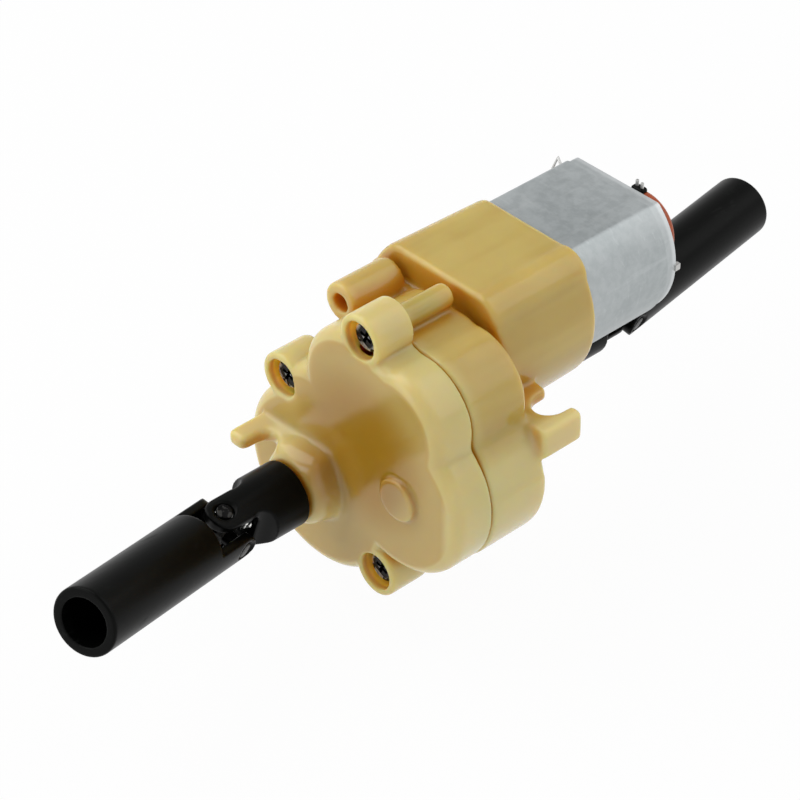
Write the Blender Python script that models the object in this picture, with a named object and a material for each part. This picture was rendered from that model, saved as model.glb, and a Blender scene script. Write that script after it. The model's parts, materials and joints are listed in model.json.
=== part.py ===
"""Geared drive motor: a flat-can motor, a three-stage gearbox and two universal-joint drive tubes.

Sizes are in millimetres and become metres when a mesh is made. +X is to the right of the front
cover, +Y runs along the output shaft from the cover to the motor's rear, +Z is up. The origin is
on the output shaft, in the plane where the cover meets the case. Outlines are (x, z) pairs.
"""
import math

import bmesh
import bpy
from mathutils import Matrix, Quaternion, Vector

MM = 0.001

# Fits
SEAT_GAP = 0.2        # between a piece and the face it rests on
PRESS_GAP = 0.08      # radial, between a shaft or pin and a piece fixed on it
RUN_GAP = 0.15        # radial, between a shaft and a bore it turns in
FLUSH_STEP = 0.05     # kept between two faces of one piece that would otherwise lie in one plane
TOOTH_GAP = 0.10      # backlash along the pitch circle
GEAR_GAP = 0.4        # between turning gears and what they pass

# Gear train: the motor's pinion, two compound idlers, the gear on the output shaft
MODULE = 0.5
PRESSURE_ANGLE = 25.0
ADDENDUM = 0.8
DEDENDUM = 1.1
PINION_TEETH = 10
UPPER_REAR_TEETH = 24
UPPER_FRONT_TEETH = 10
LOWER_REAR_TEETH = 24
LOWER_FRONT_TEETH = 27
OUTPUT_TEETH = 34
FACE_WIDTH = 2.6
LOWER_IDLER_ANGLE = 20.2   # degrees up from +X, seen from the front
IDLER_PIN_RADIUS = 1.0
IDLER_PIN_SOCKET = 0.9
IDLER_HUB_RADIUS = 1.8

# Front cover and rear case: lobes round the gears, as shells
COVER_DEPTH = 5.6
CASE_DEPTH = 8.4
COVER_WALL = 1.4
CASE_WALL = 1.5
SIDE_WALL = 1.6
COVER_EDGE_RADIUS = 2.2
CASE_EDGE_RADIUS = 0.6
OUTPUT_LOBE = (-0.15, -0.6)
OUTPUT_LOBE_RADIUS = 11.9
LOWER_LOBE = (13.0, 5.2)
LOWER_LOBE_RADIUS = 10.5
UPPER_LOBE = (13.0, 14.2)
UPPER_LOBE_RADIUS = 7.3
MOTOR_LOBE = (6.0, 15.0)
MOTOR_LOBE_RADIUS = 8.0
LOBE_VIEWPOINT = (7.0, 7.5)
LOBE_BLEND = 36
LOBE_POINTS = 72
PIVOT_CAP_RADIUS = 2.7
PIVOT_CAP_HEIGHT = 0.5

# Screws that hold the cover, and what they pass through
COVER_SCREWS = {"top": (7.6, 23.4), "left": (-5.8, 10.8), "bottom": (10.0, -8.35)}
COVER_BOSS_RADIUS = 3.2
COVER_BOSS_SETBACK = 0.1
CASE_POST_RADIUS = {"top": 1.75, "left": 2.0, "bottom": 2.6}
SCREW_RECESS_RADIUS = 2.35
SCREW_RECESS_DEPTH = 2.6
SCREW_HEAD_RADIUS = 1.95
SCREW_HEAD_HEIGHT = 1.3
SCREW_SHANK_RADIUS = 0.9
SCREW_LENGTH = 8.5
SCREW_CROWN_SHARE = 0.8
SLOT_LENGTH_SHARE = 0.58   # the driver's cross, as shares of the head's radius and height
SLOT_WIDTH_SHARE = 0.16
SLOT_DEPTH_SHARE = 0.55

# Motor sleeve, posts and lugs
SLEEVE_LENGTH = 15.7
SLEEVE_RADIUS = 11.3
SLEEVE_HALF_HEIGHT = 8.7
SLEEVE_SHIFT = 0.4
SLEEVE_DRAFT = 0.35        # the front end is larger by this much all round
SLEEVE_BLEND = 24
SLEEVE_WALL = 1.5
SLEEVE_OVERLAP = 0.4
HOLLOW_POST = (-2.25, 20.3)
HOLLOW_POST_RADIUS = 2.5
HOLLOW_POST_BORE = 1.15
HOLLOW_POST_LENGTH = 7.5
HOLLOW_POST_BORE_DEPTH = 6.0

# Lugs: level plates, each with an open slot for an upright screw
LUG_SLOT_RADIUS = 1.85
LUG_ARM_WIDTH = 2.0
RIGHT_LUG_SLOT_X = 19.75
RIGHT_LUG_SLOT_DEPTH = 3.7
RIGHT_LUG_LENGTH = 6.2
RIGHT_LUG_BITE = 0.7       # how far the lug starts ahead of the case's rear face
RIGHT_LUG_TOP = 12.6
RIGHT_LUG_PLATE = 1.6
RIGHT_LUG_RIM = 3.9        # the plate is this deep in front of the slot and outside it
LEFT_LUG_SLOT_X = -5.0
LEFT_LUG_SLOT_DEPTH = 4.35
LEFT_LUG_LENGTH = 5.7
LEFT_LUG_TOP = 4.6
LEFT_LUG_PLATE = 1.9
LEFT_LUG_CORNER = 0.6
WEB_LENGTH = 0.8           # the web stands on the cover, from the left lug to the output boss
WEB_SHOULDER = -3.6
BOSS_CREST_LENGTH = 3.2
BOSS_CREST = [(3.2, 5.2), (4.4, 4.4), (4.8, 2.4), (0.0, 1.0)]
BOSS_CREST_LEFT = [(-4.2, 2.4), (-2.6, 5.2)]

# Output bosses, bushes and shaft
FRONT_BOSS_LENGTH = 3.9
FRONT_BOSS_RADIUS = 4.7
FRONT_BOSS_BASE_RADIUS = 5.4
REAR_BOSS_LENGTH = 3.2
REAR_BOSS_RADIUS = 4.6
OUTPUT_HUB_RADIUS = 3.4
SHAFT_RADIUS = 1.5
BUSH_RADIUS = 2.5
SHAFT_HOLE_RADIUS = 1.0
SHAFT_HOLE_DEPTH = 5.0

# Universal joints
FRONT_JOINT_Y = -20.1
REAR_JOINT_Y = 43.9
YOKE_PHASE = 18.7          # turn of the yoke's pin axis from +Z towards +X
FRONT_BEND = (11.7, -17.4)  # cross about the yoke's pins, tube about the cross's other pins
REAR_BEND = (8.3, 3.1)
TUBE_RADIUS = 4.1
TUBE_BORE_RADIUS = 2.9
FRONT_TUBE_LENGTH = 26.2
REAR_TUBE_LENGTH = 28.5
YOKE_LENGTH = 10.2
YOKE_FORK_DEPTH = 3.8      # from the joint's centre to the floor between two ears
TUBE_FORK_DEPTH = 5.4
FORK_HALF_GAP = 2.6
FORK_CORNER = 1.0
YOKE_EAR_HALF_WIDTH = 2.2
TUBE_EAR_HALF_WIDTH = 1.8
TUBE_FLOOR = 3.0
TRUNNION_RADIUS = 1.0
TRUNNION_REACH = 3.7
CROSS_BODY_HALF = 1.5
YOKE_SCREW_HEAD_RADIUS = 1.45
YOKE_SCREW_HEAD_HEIGHT = 0.8
YOKE_SCREW_LENGTH = 6.4
YOKE_SOCKET_DEPTH = 3.6

# Motor
MOTOR_AXIS = (3.6, 15.0)
CAN_RADIUS = 10.2
CAN_HALF_HEIGHT = 7.7
CAN_BLEND = 48
CAN_REAR = 39.5
CAN_WALL = 1.0
CAN_FRONT_ROUND = [(0.0, 0.9), (0.3, 0.3), (1.0, 0.0)]   # distance from the end, step in
CAN_REAR_ROUND = [(0.8, 0.0), (0.3, 0.1), (0.0, 0.3)]
CAN_GAP = 0.25
MOTOR_SHAFT_RADIUS = 1.0
NOSE_RADIUS = 2.6
NOSE_LENGTH = 1.1
MOTOR_BUSH_RADIUS = 1.9
MOTOR_BUSH_LENGTH = 2.4
MOTOR_SCREW_SPREAD = 4.3
MOTOR_SCREW_HEAD_RADIUS = 1.35
MOTOR_SCREW_BITE = 2.0
MOTOR_SCREW_HEAD_HEIGHT = 1.0
MOTOR_SCREW_RADIUS = 0.8
END_CAP_THICKNESS = 3.2
END_CAP_RECESS = 0.4
END_CAP_HUB_RADIUS = 3.2
END_CAP_HUB_HEIGHT = 0.5
ARMATURE_RADIUS = 6.2
ARMATURE_FRONT = 15.5
ARMATURE_LENGTH = 12.0
ARMATURE_HUB = 2.3
POLE_HALF_ANGLE = 48.0
POLE_NECK = 1.1
POLE_DEPTH = 1.2
POLES = 3
WINDING_THICKNESS = 0.8
MAGNET_GAP = 0.5
MAGNET_HALF_ANGLE = 38.0
MAGNET_LENGTH = 16.0
COMMUTATOR_RADIUS = 2.2
COMMUTATOR_LENGTH = 3.2
BRUSH_THICKNESS = 0.3
BRUSH_WIDTH = 2.2
TERMINAL_SPREAD = 8.2
TERMINAL_THICKNESS = 0.4
TERMINAL_WIDTH = 2.4
TERMINAL_REACH = 3.4
CAPACITOR_RADIUS = 5.0
CAPACITOR_THICKNESS = 1.8
CAPACITOR_OFFSET = (2.7, 1.5)
LEAD_RADIUS = 0.3
LEAD_DROP = 1.1

SIDES = 24
FINE_SIDES = 32

# Places worked out from the sizes above
SEAM = SEAT_GAP / 2
OUTPUT_AXIS = (0.0, 0.0)
COVER_FACE = -COVER_DEPTH
COVER_INSIDE = COVER_FACE + COVER_WALL
CASE_INSIDE = CASE_DEPTH - CASE_WALL
SLEEVE_FRONT = CASE_DEPTH - SLEEVE_OVERLAP
SLEEVE_FLOOR = CASE_DEPTH + SLEEVE_WALL
SLEEVE_REAR = CASE_DEPTH + SLEEVE_LENGTH
CAN_FRONT = SLEEVE_FLOOR + SEAT_GAP
COVER_BOSS_FACE = COVER_FACE + COVER_BOSS_SETBACK
SCREW_SEAT = COVER_BOSS_FACE + SCREW_RECESS_DEPTH
REAR_BOSS_FACE = CASE_DEPTH + REAR_BOSS_LENGTH
CASE_POST_REAR = CASE_DEPTH + SEAM
SLEEVE_AXIS = (MOTOR_AXIS[0] + SLEEVE_SHIFT, MOTOR_AXIS[1])
MOTOR_SCREW_SEAT = CASE_INSIDE + MOTOR_SCREW_HEAD_HEIGHT + 2 * SEAT_GAP
MOTOR_SCREWS = {
    "upper": (MOTOR_AXIS[0], MOTOR_AXIS[1] + MOTOR_SCREW_SPREAD),
    "lower": (MOTOR_AXIS[0], MOTOR_AXIS[1] - MOTOR_SCREW_SPREAD),
}
END_CAP_REAR = CAN_REAR - END_CAP_RECESS
END_CAP_FRONT = END_CAP_REAR - END_CAP_THICKNESS
END_CAP_HUB_REAR = END_CAP_REAR + END_CAP_HUB_HEIGHT
MOTOR_SHAFT_REAR = END_CAP_HUB_REAR - 2 * SEAT_GAP
COMMUTATOR_FRONT = END_CAP_FRONT - SEAT_GAP - COMMUTATOR_LENGTH


def pitch_radius(teeth):
    return teeth * MODULE / 2


def tip_radius(teeth):
    return pitch_radius(teeth) + ADDENDUM * MODULE


def along(angle, distance, start=OUTPUT_AXIS):
    """The point at a distance from start, at an angle in degrees up from +X."""
    turn = math.radians(angle)
    return (start[0] + distance * math.cos(turn), start[1] + distance * math.sin(turn))


def meeting_point(first, first_reach, second, second_reach):
    """Where two arms meet, on the right-hand side of the line from the first to the second pivot."""
    dx = second[0] - first[0]
    dz = second[1] - first[1]
    span = math.hypot(dx, dz)
    foot = (first_reach ** 2 - second_reach ** 2 + span ** 2) / (2 * span)
    rise = math.sqrt(first_reach ** 2 - foot ** 2)
    return (first[0] + (foot * dx - rise * dz) / span, first[1] + (foot * dz + rise * dx) / span)


LOWER_IDLER = along(LOWER_IDLER_ANGLE, pitch_radius(LOWER_FRONT_TEETH) + pitch_radius(OUTPUT_TEETH))
UPPER_IDLER = meeting_point(
    MOTOR_AXIS, pitch_radius(PINION_TEETH) + pitch_radius(UPPER_REAR_TEETH),
    LOWER_IDLER, pitch_radius(UPPER_FRONT_TEETH) + pitch_radius(LOWER_REAR_TEETH))

# The gears stack along the shaft, each plane clear of the next
FRONT_PLANE = COVER_INSIDE + GEAR_GAP
MIDDLE_PLANE_FRONT = FRONT_PLANE + FACE_WIDTH + GEAR_GAP
MIDDLE_PLANE_REAR = MIDDLE_PLANE_FRONT + FACE_WIDTH
REAR_PLANE_FRONT = MIDDLE_PLANE_REAR + GEAR_GAP
REAR_PLANE_REAR = REAR_PLANE_FRONT + FACE_WIDTH
HUB_FRONT = COVER_INSIDE + SEAT_GAP
HUB_REAR = CASE_INSIDE - SEAT_GAP

OUTER_LOBES = [
    (OUTPUT_LOBE, OUTPUT_LOBE_RADIUS),
    (LOWER_LOBE, LOWER_LOBE_RADIUS),
    (UPPER_LOBE, UPPER_LOBE_RADIUS),
    (MOTOR_LOBE, MOTOR_LOBE_RADIUS),
]
INNER_LOBES = [
    (OUTPUT_LOBE, OUTPUT_LOBE_RADIUS - SIDE_WALL),
    (LOWER_LOBE, LOWER_LOBE_RADIUS - SIDE_WALL),
    (UPPER_IDLER, tip_radius(UPPER_REAR_TEETH) + GEAR_GAP),
    (MOTOR_LOBE, MOTOR_LOBE_RADIUS - SIDE_WALL),
]


def new_collection(name):
    made = bpy.data.collections.new(name)
    bpy.context.scene.collection.children.link(made)
    return made


def finish(name, colour, roughness, metallic=0.0):
    """A plain material of one colour."""
    made = bpy.data.materials.new(name)
    made.use_nodes = True
    shader = made.node_tree.nodes["Principled BSDF"]
    shader.inputs["Base Color"].default_value = (*colour, 1.0)
    shader.inputs["Roughness"].default_value = roughness
    shader.inputs["Metallic"].default_value = metallic
    made.diffuse_color = (*colour, 1.0)
    return made


def to_mesh(bm, name):
    """Turn a bmesh in millimetres into a mesh in metres."""
    bmesh.ops.scale(bm, vec=(MM, MM, MM), verts=bm.verts)
    bmesh.ops.recalc_face_normals(bm, faces=bm.faces)
    mesh = bpy.data.meshes.new(name)
    bm.to_mesh(mesh)
    bm.free()
    return mesh


def rod(radius, front, rear, at=OUTPUT_AXIS, sides=SIDES, rear_radius=None):
    """A round bar along Y, or a cone where the rear radius differs."""
    bm = bmesh.new()
    bmesh.ops.create_cone(
        bm, cap_ends=True, segments=sides, radius1=radius,
        radius2=radius if rear_radius is None else rear_radius, depth=rear - front)
    place = Matrix.Translation((at[0], (front + rear) / 2, at[1])) @ Matrix.Rotation(-math.pi / 2, 4, "X")
    bmesh.ops.transform(bm, matrix=place, verts=bm.verts)
    return to_mesh(bm, "rod")


def cross_rod(radius, half_length, axis, at=(0.0, 0.0, 0.0), sides=SIDES):
    """A round bar centred on a point, along X or Z."""
    bm = bmesh.new()
    bmesh.ops.create_cone(
        bm, cap_ends=True, segments=sides, radius1=radius, radius2=radius, depth=2 * half_length)
    turn = Matrix.Rotation(math.pi / 2, 4, "Y") if axis == "X" else Matrix.Identity(4)
    bmesh.ops.transform(bm, matrix=Matrix.Translation(at) @ turn, verts=bm.verts)
    return to_mesh(bm, "cross_rod")


def block(low, high):
    """A box between two corners."""
    bm = bmesh.new()
    bmesh.ops.create_cube(bm, size=1.0)
    low = Vector(low)
    high = Vector(high)
    size = Matrix.Diagonal((*(high - low), 1.0))
    bmesh.ops.transform(bm, matrix=Matrix.Translation((low + high) / 2) @ size, verts=bm.verts)
    return to_mesh(bm, "block")


def plate(outlines, front, rear, normal="Y"):
    """A flat outline with holes, given thickness along Y (outline in x, z) or Z (outline in x, y)."""
    curve = bpy.data.curves.new("plate", "CURVE")
    curve.dimensions = "2D"
    curve.fill_mode = "BOTH"
    curve.extrude = (rear - front) / 2 * MM
    for outline in outlines:
        spline = curve.splines.new("POLY")
        spline.points.add(len(outline) - 1)
        for point, (x, y) in zip(spline.points, outline):
            point.co = (x * MM, y * MM, 0.0, 1.0)
        spline.use_cyclic_u = True
    drawn = bpy.data.objects.new("plate", curve)
    TOOLS.objects.link(drawn)
    bpy.context.view_layer.update()
    mesh = bpy.data.meshes.new_from_object(drawn.evaluated_get(bpy.context.evaluated_depsgraph_get()))
    bpy.data.objects.remove(drawn)
    bpy.data.curves.remove(curve)
    bm = bmesh.new()
    bm.from_mesh(mesh)
    bpy.data.meshes.remove(mesh)
    bmesh.ops.remove_doubles(bm, verts=bm.verts, dist=1e-7)
    merge_flat(bm)
    middle = (front + rear) / 2 * MM
    if normal == "Y":
        place = Matrix.Translation((0.0, middle, 0.0)) @ Matrix.Rotation(math.pi / 2, 4, "X")
    else:
        place = Matrix.Translation((0.0, 0.0, middle))
    bmesh.ops.transform(bm, matrix=place, verts=bm.verts)
    bmesh.ops.scale(bm, vec=(1 / MM, 1 / MM, 1 / MM), verts=bm.verts)
    return to_mesh(bm, "plate")


def merge_flat(bm):
    """Leave out points and edges that lie in the line or plane of their neighbours."""
    bmesh.ops.dissolve_limit(bm, angle_limit=math.radians(0.2), verts=bm.verts, edges=bm.edges)


def loft(rings):
    """A closed solid through rings of (x, y, z) points, with a flat cap on the first and last ring."""
    bm = bmesh.new()
    layers = [[bm.verts.new(point) for point in ring] for ring in rings]
    for here, after in zip(layers, layers[1:]):
        for i in range(len(here)):
            j = (i + 1) % len(here)
            bm.faces.new((here[i], here[j], after[j], after[i]))
    bm.faces.new(layers[0])
    bm.faces.new(layers[-1])
    merge_flat(bm)
    return to_mesh(bm, "loft")


def circle(radius, at=OUTPUT_AXIS, sides=SIDES):
    """The corners of a round outline."""
    return [along(360 * i / sides, radius, at) for i in range(sides)]


def lobed_outline(lobes, inset=0.0):
    """One smooth outline round all the lobes, as seen from a point inside them."""
    points = []
    for i in range(LOBE_POINTS):
        turn = 2 * math.pi * i / LOBE_POINTS
        look = Vector((math.cos(turn), math.sin(turn)))
        total = 0.0
        for centre, radius in lobes:
            away = Vector(centre) - Vector(LOBE_VIEWPOINT)
            reach = look.dot(away)
            inside = reach ** 2 - away.length_squared + (radius - inset) ** 2
            if inside > 0:
                total += max(reach + math.sqrt(inside), 0.0) ** LOBE_BLEND
        points.append(Vector(LOBE_VIEWPOINT) + look * total ** (1 / LOBE_BLEND))
    return points


def lobed_ring(lobes, y, inset=0.0):
    return [(x, y, z) for x, z in lobed_outline(lobes, inset)]


def rounded_rings(lobes, face, radius, inward, steps):
    """Rings of an edge rounded into a face; inward is the direction of Y into the solid."""
    rings = []
    for i in range(steps + 1):
        turn = math.pi / 2 * i / steps
        y = face + inward * radius * (1 - math.sin(turn))
        rings.append(lobed_ring(lobes, y, radius * (1 - math.cos(turn))))
    return rings


def flat_round(radius, half_height, blend, at=MOTOR_AXIS, count=48):
    """The outline of a round can with two flats; a higher blend makes sharper corners."""
    points = []
    for i in range(count):
        turn = 2 * math.pi * (i + 0.5) / count
        flat = (abs(math.sin(turn)) / half_height) ** blend
        reach = (flat + radius ** -blend) ** (-1 / blend)
        points.append((at[0] + reach * math.cos(turn), at[1] + reach * math.sin(turn)))
    return points


def can_ring(y, step):
    """The motor can's outline at a depth, stepped in all round."""
    return [(x, y, z) for x, z in flat_round(CAN_RADIUS - step, CAN_HALF_HEIGHT - step, CAN_BLEND)]


def sleeve_ring(y, grow):
    """The motor sleeve's outline at a depth, larger all round by grow."""
    outline = flat_round(SLEEVE_RADIUS + grow, SLEEVE_HALF_HEIGHT + grow, SLEEVE_BLEND, SLEEVE_AXIS)
    return [(x, y, z) for x, z in outline]


def involute(angle):
    return math.tan(angle) - angle


def gear_outline(teeth, tooth_at):
    """Straight-cut involute teeth round the origin, with one tooth centred at an angle in degrees."""
    pitch = pitch_radius(teeth)
    base = pitch * math.cos(math.radians(PRESSURE_ANGLE))
    tip = tip_radius(teeth)
    root = pitch - DEDENDUM * MODULE
    thickness = math.pi * MODULE / 2 - TOOTH_GAP
    start = max(base, root)

    def half_angle(radius):
        flank = involute(math.radians(PRESSURE_ANGLE)) - involute(math.acos(min(base / radius, 1.0)))
        return math.degrees(thickness / (2 * pitch) + flank)

    flank = [(radius, half_angle(radius)) for radius in (start, tip)]
    if root < start:
        flank.insert(0, (root, flank[0][1]))
    points = []
    for i in range(teeth):
        middle = tooth_at + 360 * i / teeth
        points += [along(middle - half, radius) for radius, half in flank]
        points += [along(middle + half, radius) for radius, half in reversed(flank)]
    return points


def bearing(start, end):
    """The direction from one axis to another, in degrees up from +X."""
    return math.degrees(math.atan2(end[1] - start[1], end[0] - start[0]))


def part(name, mesh, material, at=(0.0, 0.0, 0.0), turn=None):
    """A named piece of the object, with its origin at a point in millimetres."""
    mesh.name = name
    mesh.materials.append(material)
    made = bpy.data.objects.new(name, mesh)
    PARTS.objects.link(made)
    made.location = Vector(at) * MM
    made.rotation_mode = "QUATERNION"
    if turn is not None:
        made.rotation_quaternion = turn
    mesh.shade_smooth()
    mesh.set_sharp_from_angle(angle=math.radians(30))
    return made


def shape_with(target, operation, *meshes):
    """Join meshes to a part, cut them out or keep what is common; they share the part's place."""
    for mesh in meshes:
        name = f"{target.name}_{operation.lower()}_{len(target.modifiers)}"
        tool = bpy.data.objects.new(name, mesh)
        TOOLS.objects.link(tool)
        tool.location = target.location
        tool.rotation_mode = "QUATERNION"
        tool.rotation_quaternion = target.rotation_quaternion
        tool.hide_render = True
        tool.display_type = "WIRE"
        step = target.modifiers.new(name, "BOOLEAN")
        step.operation = operation
        step.object = tool


def join(target, *meshes):
    shape_with(target, "UNION", *meshes)


def cut(target, *meshes):
    shape_with(target, "DIFFERENCE", *meshes)


def in_space(point, y):
    """An (x, z) place as a point at some depth."""
    return (point[0], y, point[1])


def ring(outer, inner, front, rear, sides=SIDES):
    """A plain ring along Y, round the piece's own axis."""
    return plate([circle(outer, sides=sides), circle(inner, sides=sides)], front, rear)


def cross_slot(head_radius, face, depth):
    """The cross that a driver turns, cut into a screw's face."""
    long = SLOT_LENGTH_SHARE * head_radius
    short = SLOT_WIDTH_SHARE * head_radius
    corner = [(long, -short), (long, short), (short, short)]
    outline = []
    for quarter in range(4):
        turn = Matrix.Rotation(math.radians(90 * quarter), 2)
        outline += [tuple(turn @ Vector(point)) for point in corner]
    return plate([outline], face - depth, face + depth)


def screw(name, at, head_radius, head_height, shank_radius, length, material, turn=None):
    """A pan-head screw; its head stands just clear of a seat at the given point, towards its own -Y."""
    under = -SEAT_GAP
    face = under - head_height
    head = rod(SCREW_CROWN_SHARE * head_radius, face, under, rear_radius=head_radius)
    made = part(name, head, material, at, turn)
    join(made, rod(shank_radius, under - head_height / 2, length, sides=16))
    cut(made, cross_slot(head_radius, face, SLOT_DEPTH_SHARE * head_height))


def slot_end(x, mouth, depth, facing, room=0.0):
    """The round end of a lug's slot, from its right side to its left; facing is the way it opens along Y."""
    centre = (x, mouth - facing * (depth - LUG_SLOT_RADIUS))
    return [along(-facing * angle, LUG_SLOT_RADIUS + room, centre) for angle in range(0, 181, 30)]


def left_lug(root):
    """A plate that stands forward of the cover, beside the output boss."""
    front = COVER_FACE - LEFT_LUG_LENGTH
    slot = slot_end(LEFT_LUG_SLOT_X, front, LEFT_LUG_SLOT_DEPTH, -1)
    inner = OUTPUT_AXIS[0]
    side = slot[-1][0]
    outer = side - LUG_ARM_WIDTH
    outline = [(outer, root), (outer, front + LEFT_LUG_CORNER), (outer + LEFT_LUG_CORNER, front),
               (side, front), *reversed(slot), (inner, slot[0][1]), (inner, root)]
    return plate([outline], LEFT_LUG_TOP - LEFT_LUG_PLATE, LEFT_LUG_TOP, "Z")


def web(root):
    """The rib on the cover that carries the left lug and runs into the top of the output boss."""
    outer = LEFT_LUG_SLOT_X - LUG_SLOT_RADIUS - LUG_ARM_WIDTH + FLUSH_STEP
    low = LEFT_LUG_TOP - LEFT_LUG_PLATE + FLUSH_STEP
    left = [(outer, low), (outer, LEFT_LUG_TOP - FLUSH_STEP), (WEB_SHOULDER, BOSS_CREST[0][1] - FLUSH_STEP)]
    return plate([left + BOSS_CREST[1:]], COVER_FACE - WEB_LENGTH, root - FLUSH_STEP)


def right_lug():
    """The upper plate of the right lug, open to the rear."""
    front = CASE_DEPTH - RIGHT_LUG_BITE
    rear = front + RIGHT_LUG_LENGTH
    slot = slot_end(RIGHT_LUG_SLOT_X, rear, RIGHT_LUG_SLOT_DEPTH, 1)
    inner = SLEEVE_AXIS[0]
    outer = slot[0][0] + LUG_ARM_WIDTH
    outline = [(inner, front), (outer, front), (outer, rear), (slot[0][0], rear), *slot,
               (slot[-1][0], rear), (inner, rear)]
    return plate([outline], RIGHT_LUG_TOP - RIGHT_LUG_PLATE, RIGHT_LUG_TOP, "Z")


def right_lug_rim():
    """The deeper part of the right lug, in front of its slot and outside it."""
    front = CASE_DEPTH - RIGHT_LUG_BITE
    rear = front + RIGHT_LUG_LENGTH
    slot = slot_end(RIGHT_LUG_SLOT_X, rear, RIGHT_LUG_SLOT_DEPTH, 1, FLUSH_STEP)
    quarter = slot[:len(slot) // 2 + 1]
    inner = SLEEVE_AXIS[0]
    outer = slot[0][0] + LUG_ARM_WIDTH - 2 * FLUSH_STEP
    front += FLUSH_STEP
    rear -= FLUSH_STEP
    outline = [(inner, front), (outer, front), (outer, rear), (slot[0][0], rear), *quarter,
               (inner, quarter[-1][1])]
    return plate([outline], RIGHT_LUG_TOP - RIGHT_LUG_RIM, RIGHT_LUG_TOP - RIGHT_LUG_PLATE + FLUSH_STEP, "Z")


def front_cover():
    seam = -SEAM
    rings = [lobed_ring(INNER_LOBES, COVER_INSIDE), lobed_ring(INNER_LOBES, seam),
             lobed_ring(OUTER_LOBES, seam)]
    rings += rounded_rings(OUTER_LOBES, COVER_FACE, COVER_EDGE_RADIUS, 1, 4)
    made = part("front_cover", loft(rings), NYLON)
    mid_wall = COVER_FACE + COVER_WALL / 2
    boss_tip = COVER_FACE - FRONT_BOSS_LENGTH
    cap_face = COVER_FACE - PIVOT_CAP_HEIGHT
    join(made, rod(FRONT_BOSS_RADIUS, boss_tip, mid_wall, sides=FINE_SIDES,
                   rear_radius=FRONT_BOSS_BASE_RADIUS))
    join(made, rod(PIVOT_CAP_RADIUS, cap_face, mid_wall, LOWER_IDLER))
    join(made, left_lug(mid_wall), web(mid_wall))
    crest = plate([BOSS_CREST_LEFT + BOSS_CREST], COVER_FACE - BOSS_CREST_LENGTH, mid_wall + FLUSH_STEP)
    join(made, crest)
    for place in COVER_SCREWS.values():
        join(made, rod(COVER_BOSS_RADIUS, COVER_BOSS_FACE, seam - FLUSH_STEP, place))
    for place in COVER_SCREWS.values():
        cut(made, rod(SCREW_RECESS_RADIUS, COVER_BOSS_FACE - 1, SCREW_SEAT, place))
        cut(made, rod(SCREW_SHANK_RADIUS + RUN_GAP, SCREW_SEAT - 1, 1, place, sides=16))
    cut(made, rod(BUSH_RADIUS + PRESS_GAP, boss_tip - 1, 0))
    for place in (LOWER_IDLER, UPPER_IDLER):
        cut(made, rod(IDLER_PIN_RADIUS + PRESS_GAP, COVER_INSIDE - IDLER_PIN_SOCKET, 0, place, sides=16))


def rear_case():
    seam = SEAM
    rings = [lobed_ring(INNER_LOBES, CASE_INSIDE), lobed_ring(INNER_LOBES, seam),
             lobed_ring(OUTER_LOBES, seam)]
    rings += rounded_rings(OUTER_LOBES, CASE_DEPTH, CASE_EDGE_RADIUS, -1, 2)
    made = part("rear_case", loft(rings), NYLON)
    mid_wall = CASE_DEPTH - CASE_WALL / 2
    join(made, loft([sleeve_ring(SLEEVE_FRONT, SLEEVE_DRAFT), sleeve_ring(SLEEVE_REAR, 0.0)]))
    join(made, right_lug(), right_lug_rim())
    join(made, rod(REAR_BOSS_RADIUS, mid_wall, REAR_BOSS_FACE))
    for name, place in COVER_SCREWS.items():
        join(made, rod(CASE_POST_RADIUS[name], seam + FLUSH_STEP, CASE_POST_REAR, place))
    post_front = SLEEVE_FRONT - HOLLOW_POST_LENGTH
    join(made, rod(HOLLOW_POST_RADIUS, post_front, CASE_DEPTH, HOLLOW_POST))
    can_room = flat_round(CAN_RADIUS + CAN_GAP, CAN_HALF_HEIGHT + CAN_GAP, CAN_BLEND)
    cut(made, plate([can_room], SLEEVE_FLOOR, SLEEVE_REAR + 1))
    bore_end = post_front + HOLLOW_POST_BORE_DEPTH
    cut(made, rod(HOLLOW_POST_BORE, post_front - 1, bore_end, HOLLOW_POST, sides=16))
    cut(made, rod(NOSE_RADIUS + RUN_GAP, 0, SLEEVE_FLOOR + 1, MOTOR_AXIS))
    for place in MOTOR_SCREWS.values():
        cut(made, rod(MOTOR_SCREW_HEAD_RADIUS + RUN_GAP, 0, MOTOR_SCREW_SEAT, place, sides=16))
        cut(made, rod(MOTOR_SCREW_RADIUS + RUN_GAP, 0, SLEEVE_FLOOR + 1, place, sides=16))
    cut(made, rod(BUSH_RADIUS + PRESS_GAP, 0, REAR_BOSS_FACE + 1))
    for place in COVER_SCREWS.values():
        depth = SCREW_SEAT + SCREW_LENGTH + SEAT_GAP
        cut(made, rod(SCREW_SHANK_RADIUS + PRESS_GAP, -1, depth, place, sides=16))
    for place in (LOWER_IDLER, UPPER_IDLER):
        cut(made, rod(IDLER_PIN_RADIUS + PRESS_GAP, 0, CASE_INSIDE + IDLER_PIN_SOCKET, place, sides=16))


def case_screws():
    for name, place in COVER_SCREWS.items():
        screw(f"cover_screw_{name}", in_space(place, SCREW_SEAT), SCREW_HEAD_RADIUS, SCREW_HEAD_HEIGHT,
              SCREW_SHANK_RADIUS, SCREW_LENGTH, BLACK_STEEL)
    for name, place in MOTOR_SCREWS.items():
        screw(f"motor_screw_{name}", in_space(place, MOTOR_SCREW_SEAT), MOTOR_SCREW_HEAD_RADIUS,
              MOTOR_SCREW_HEAD_HEIGHT, MOTOR_SCREW_RADIUS, CAN_FRONT + MOTOR_SCREW_BITE - MOTOR_SCREW_SEAT,
              STEEL)


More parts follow.
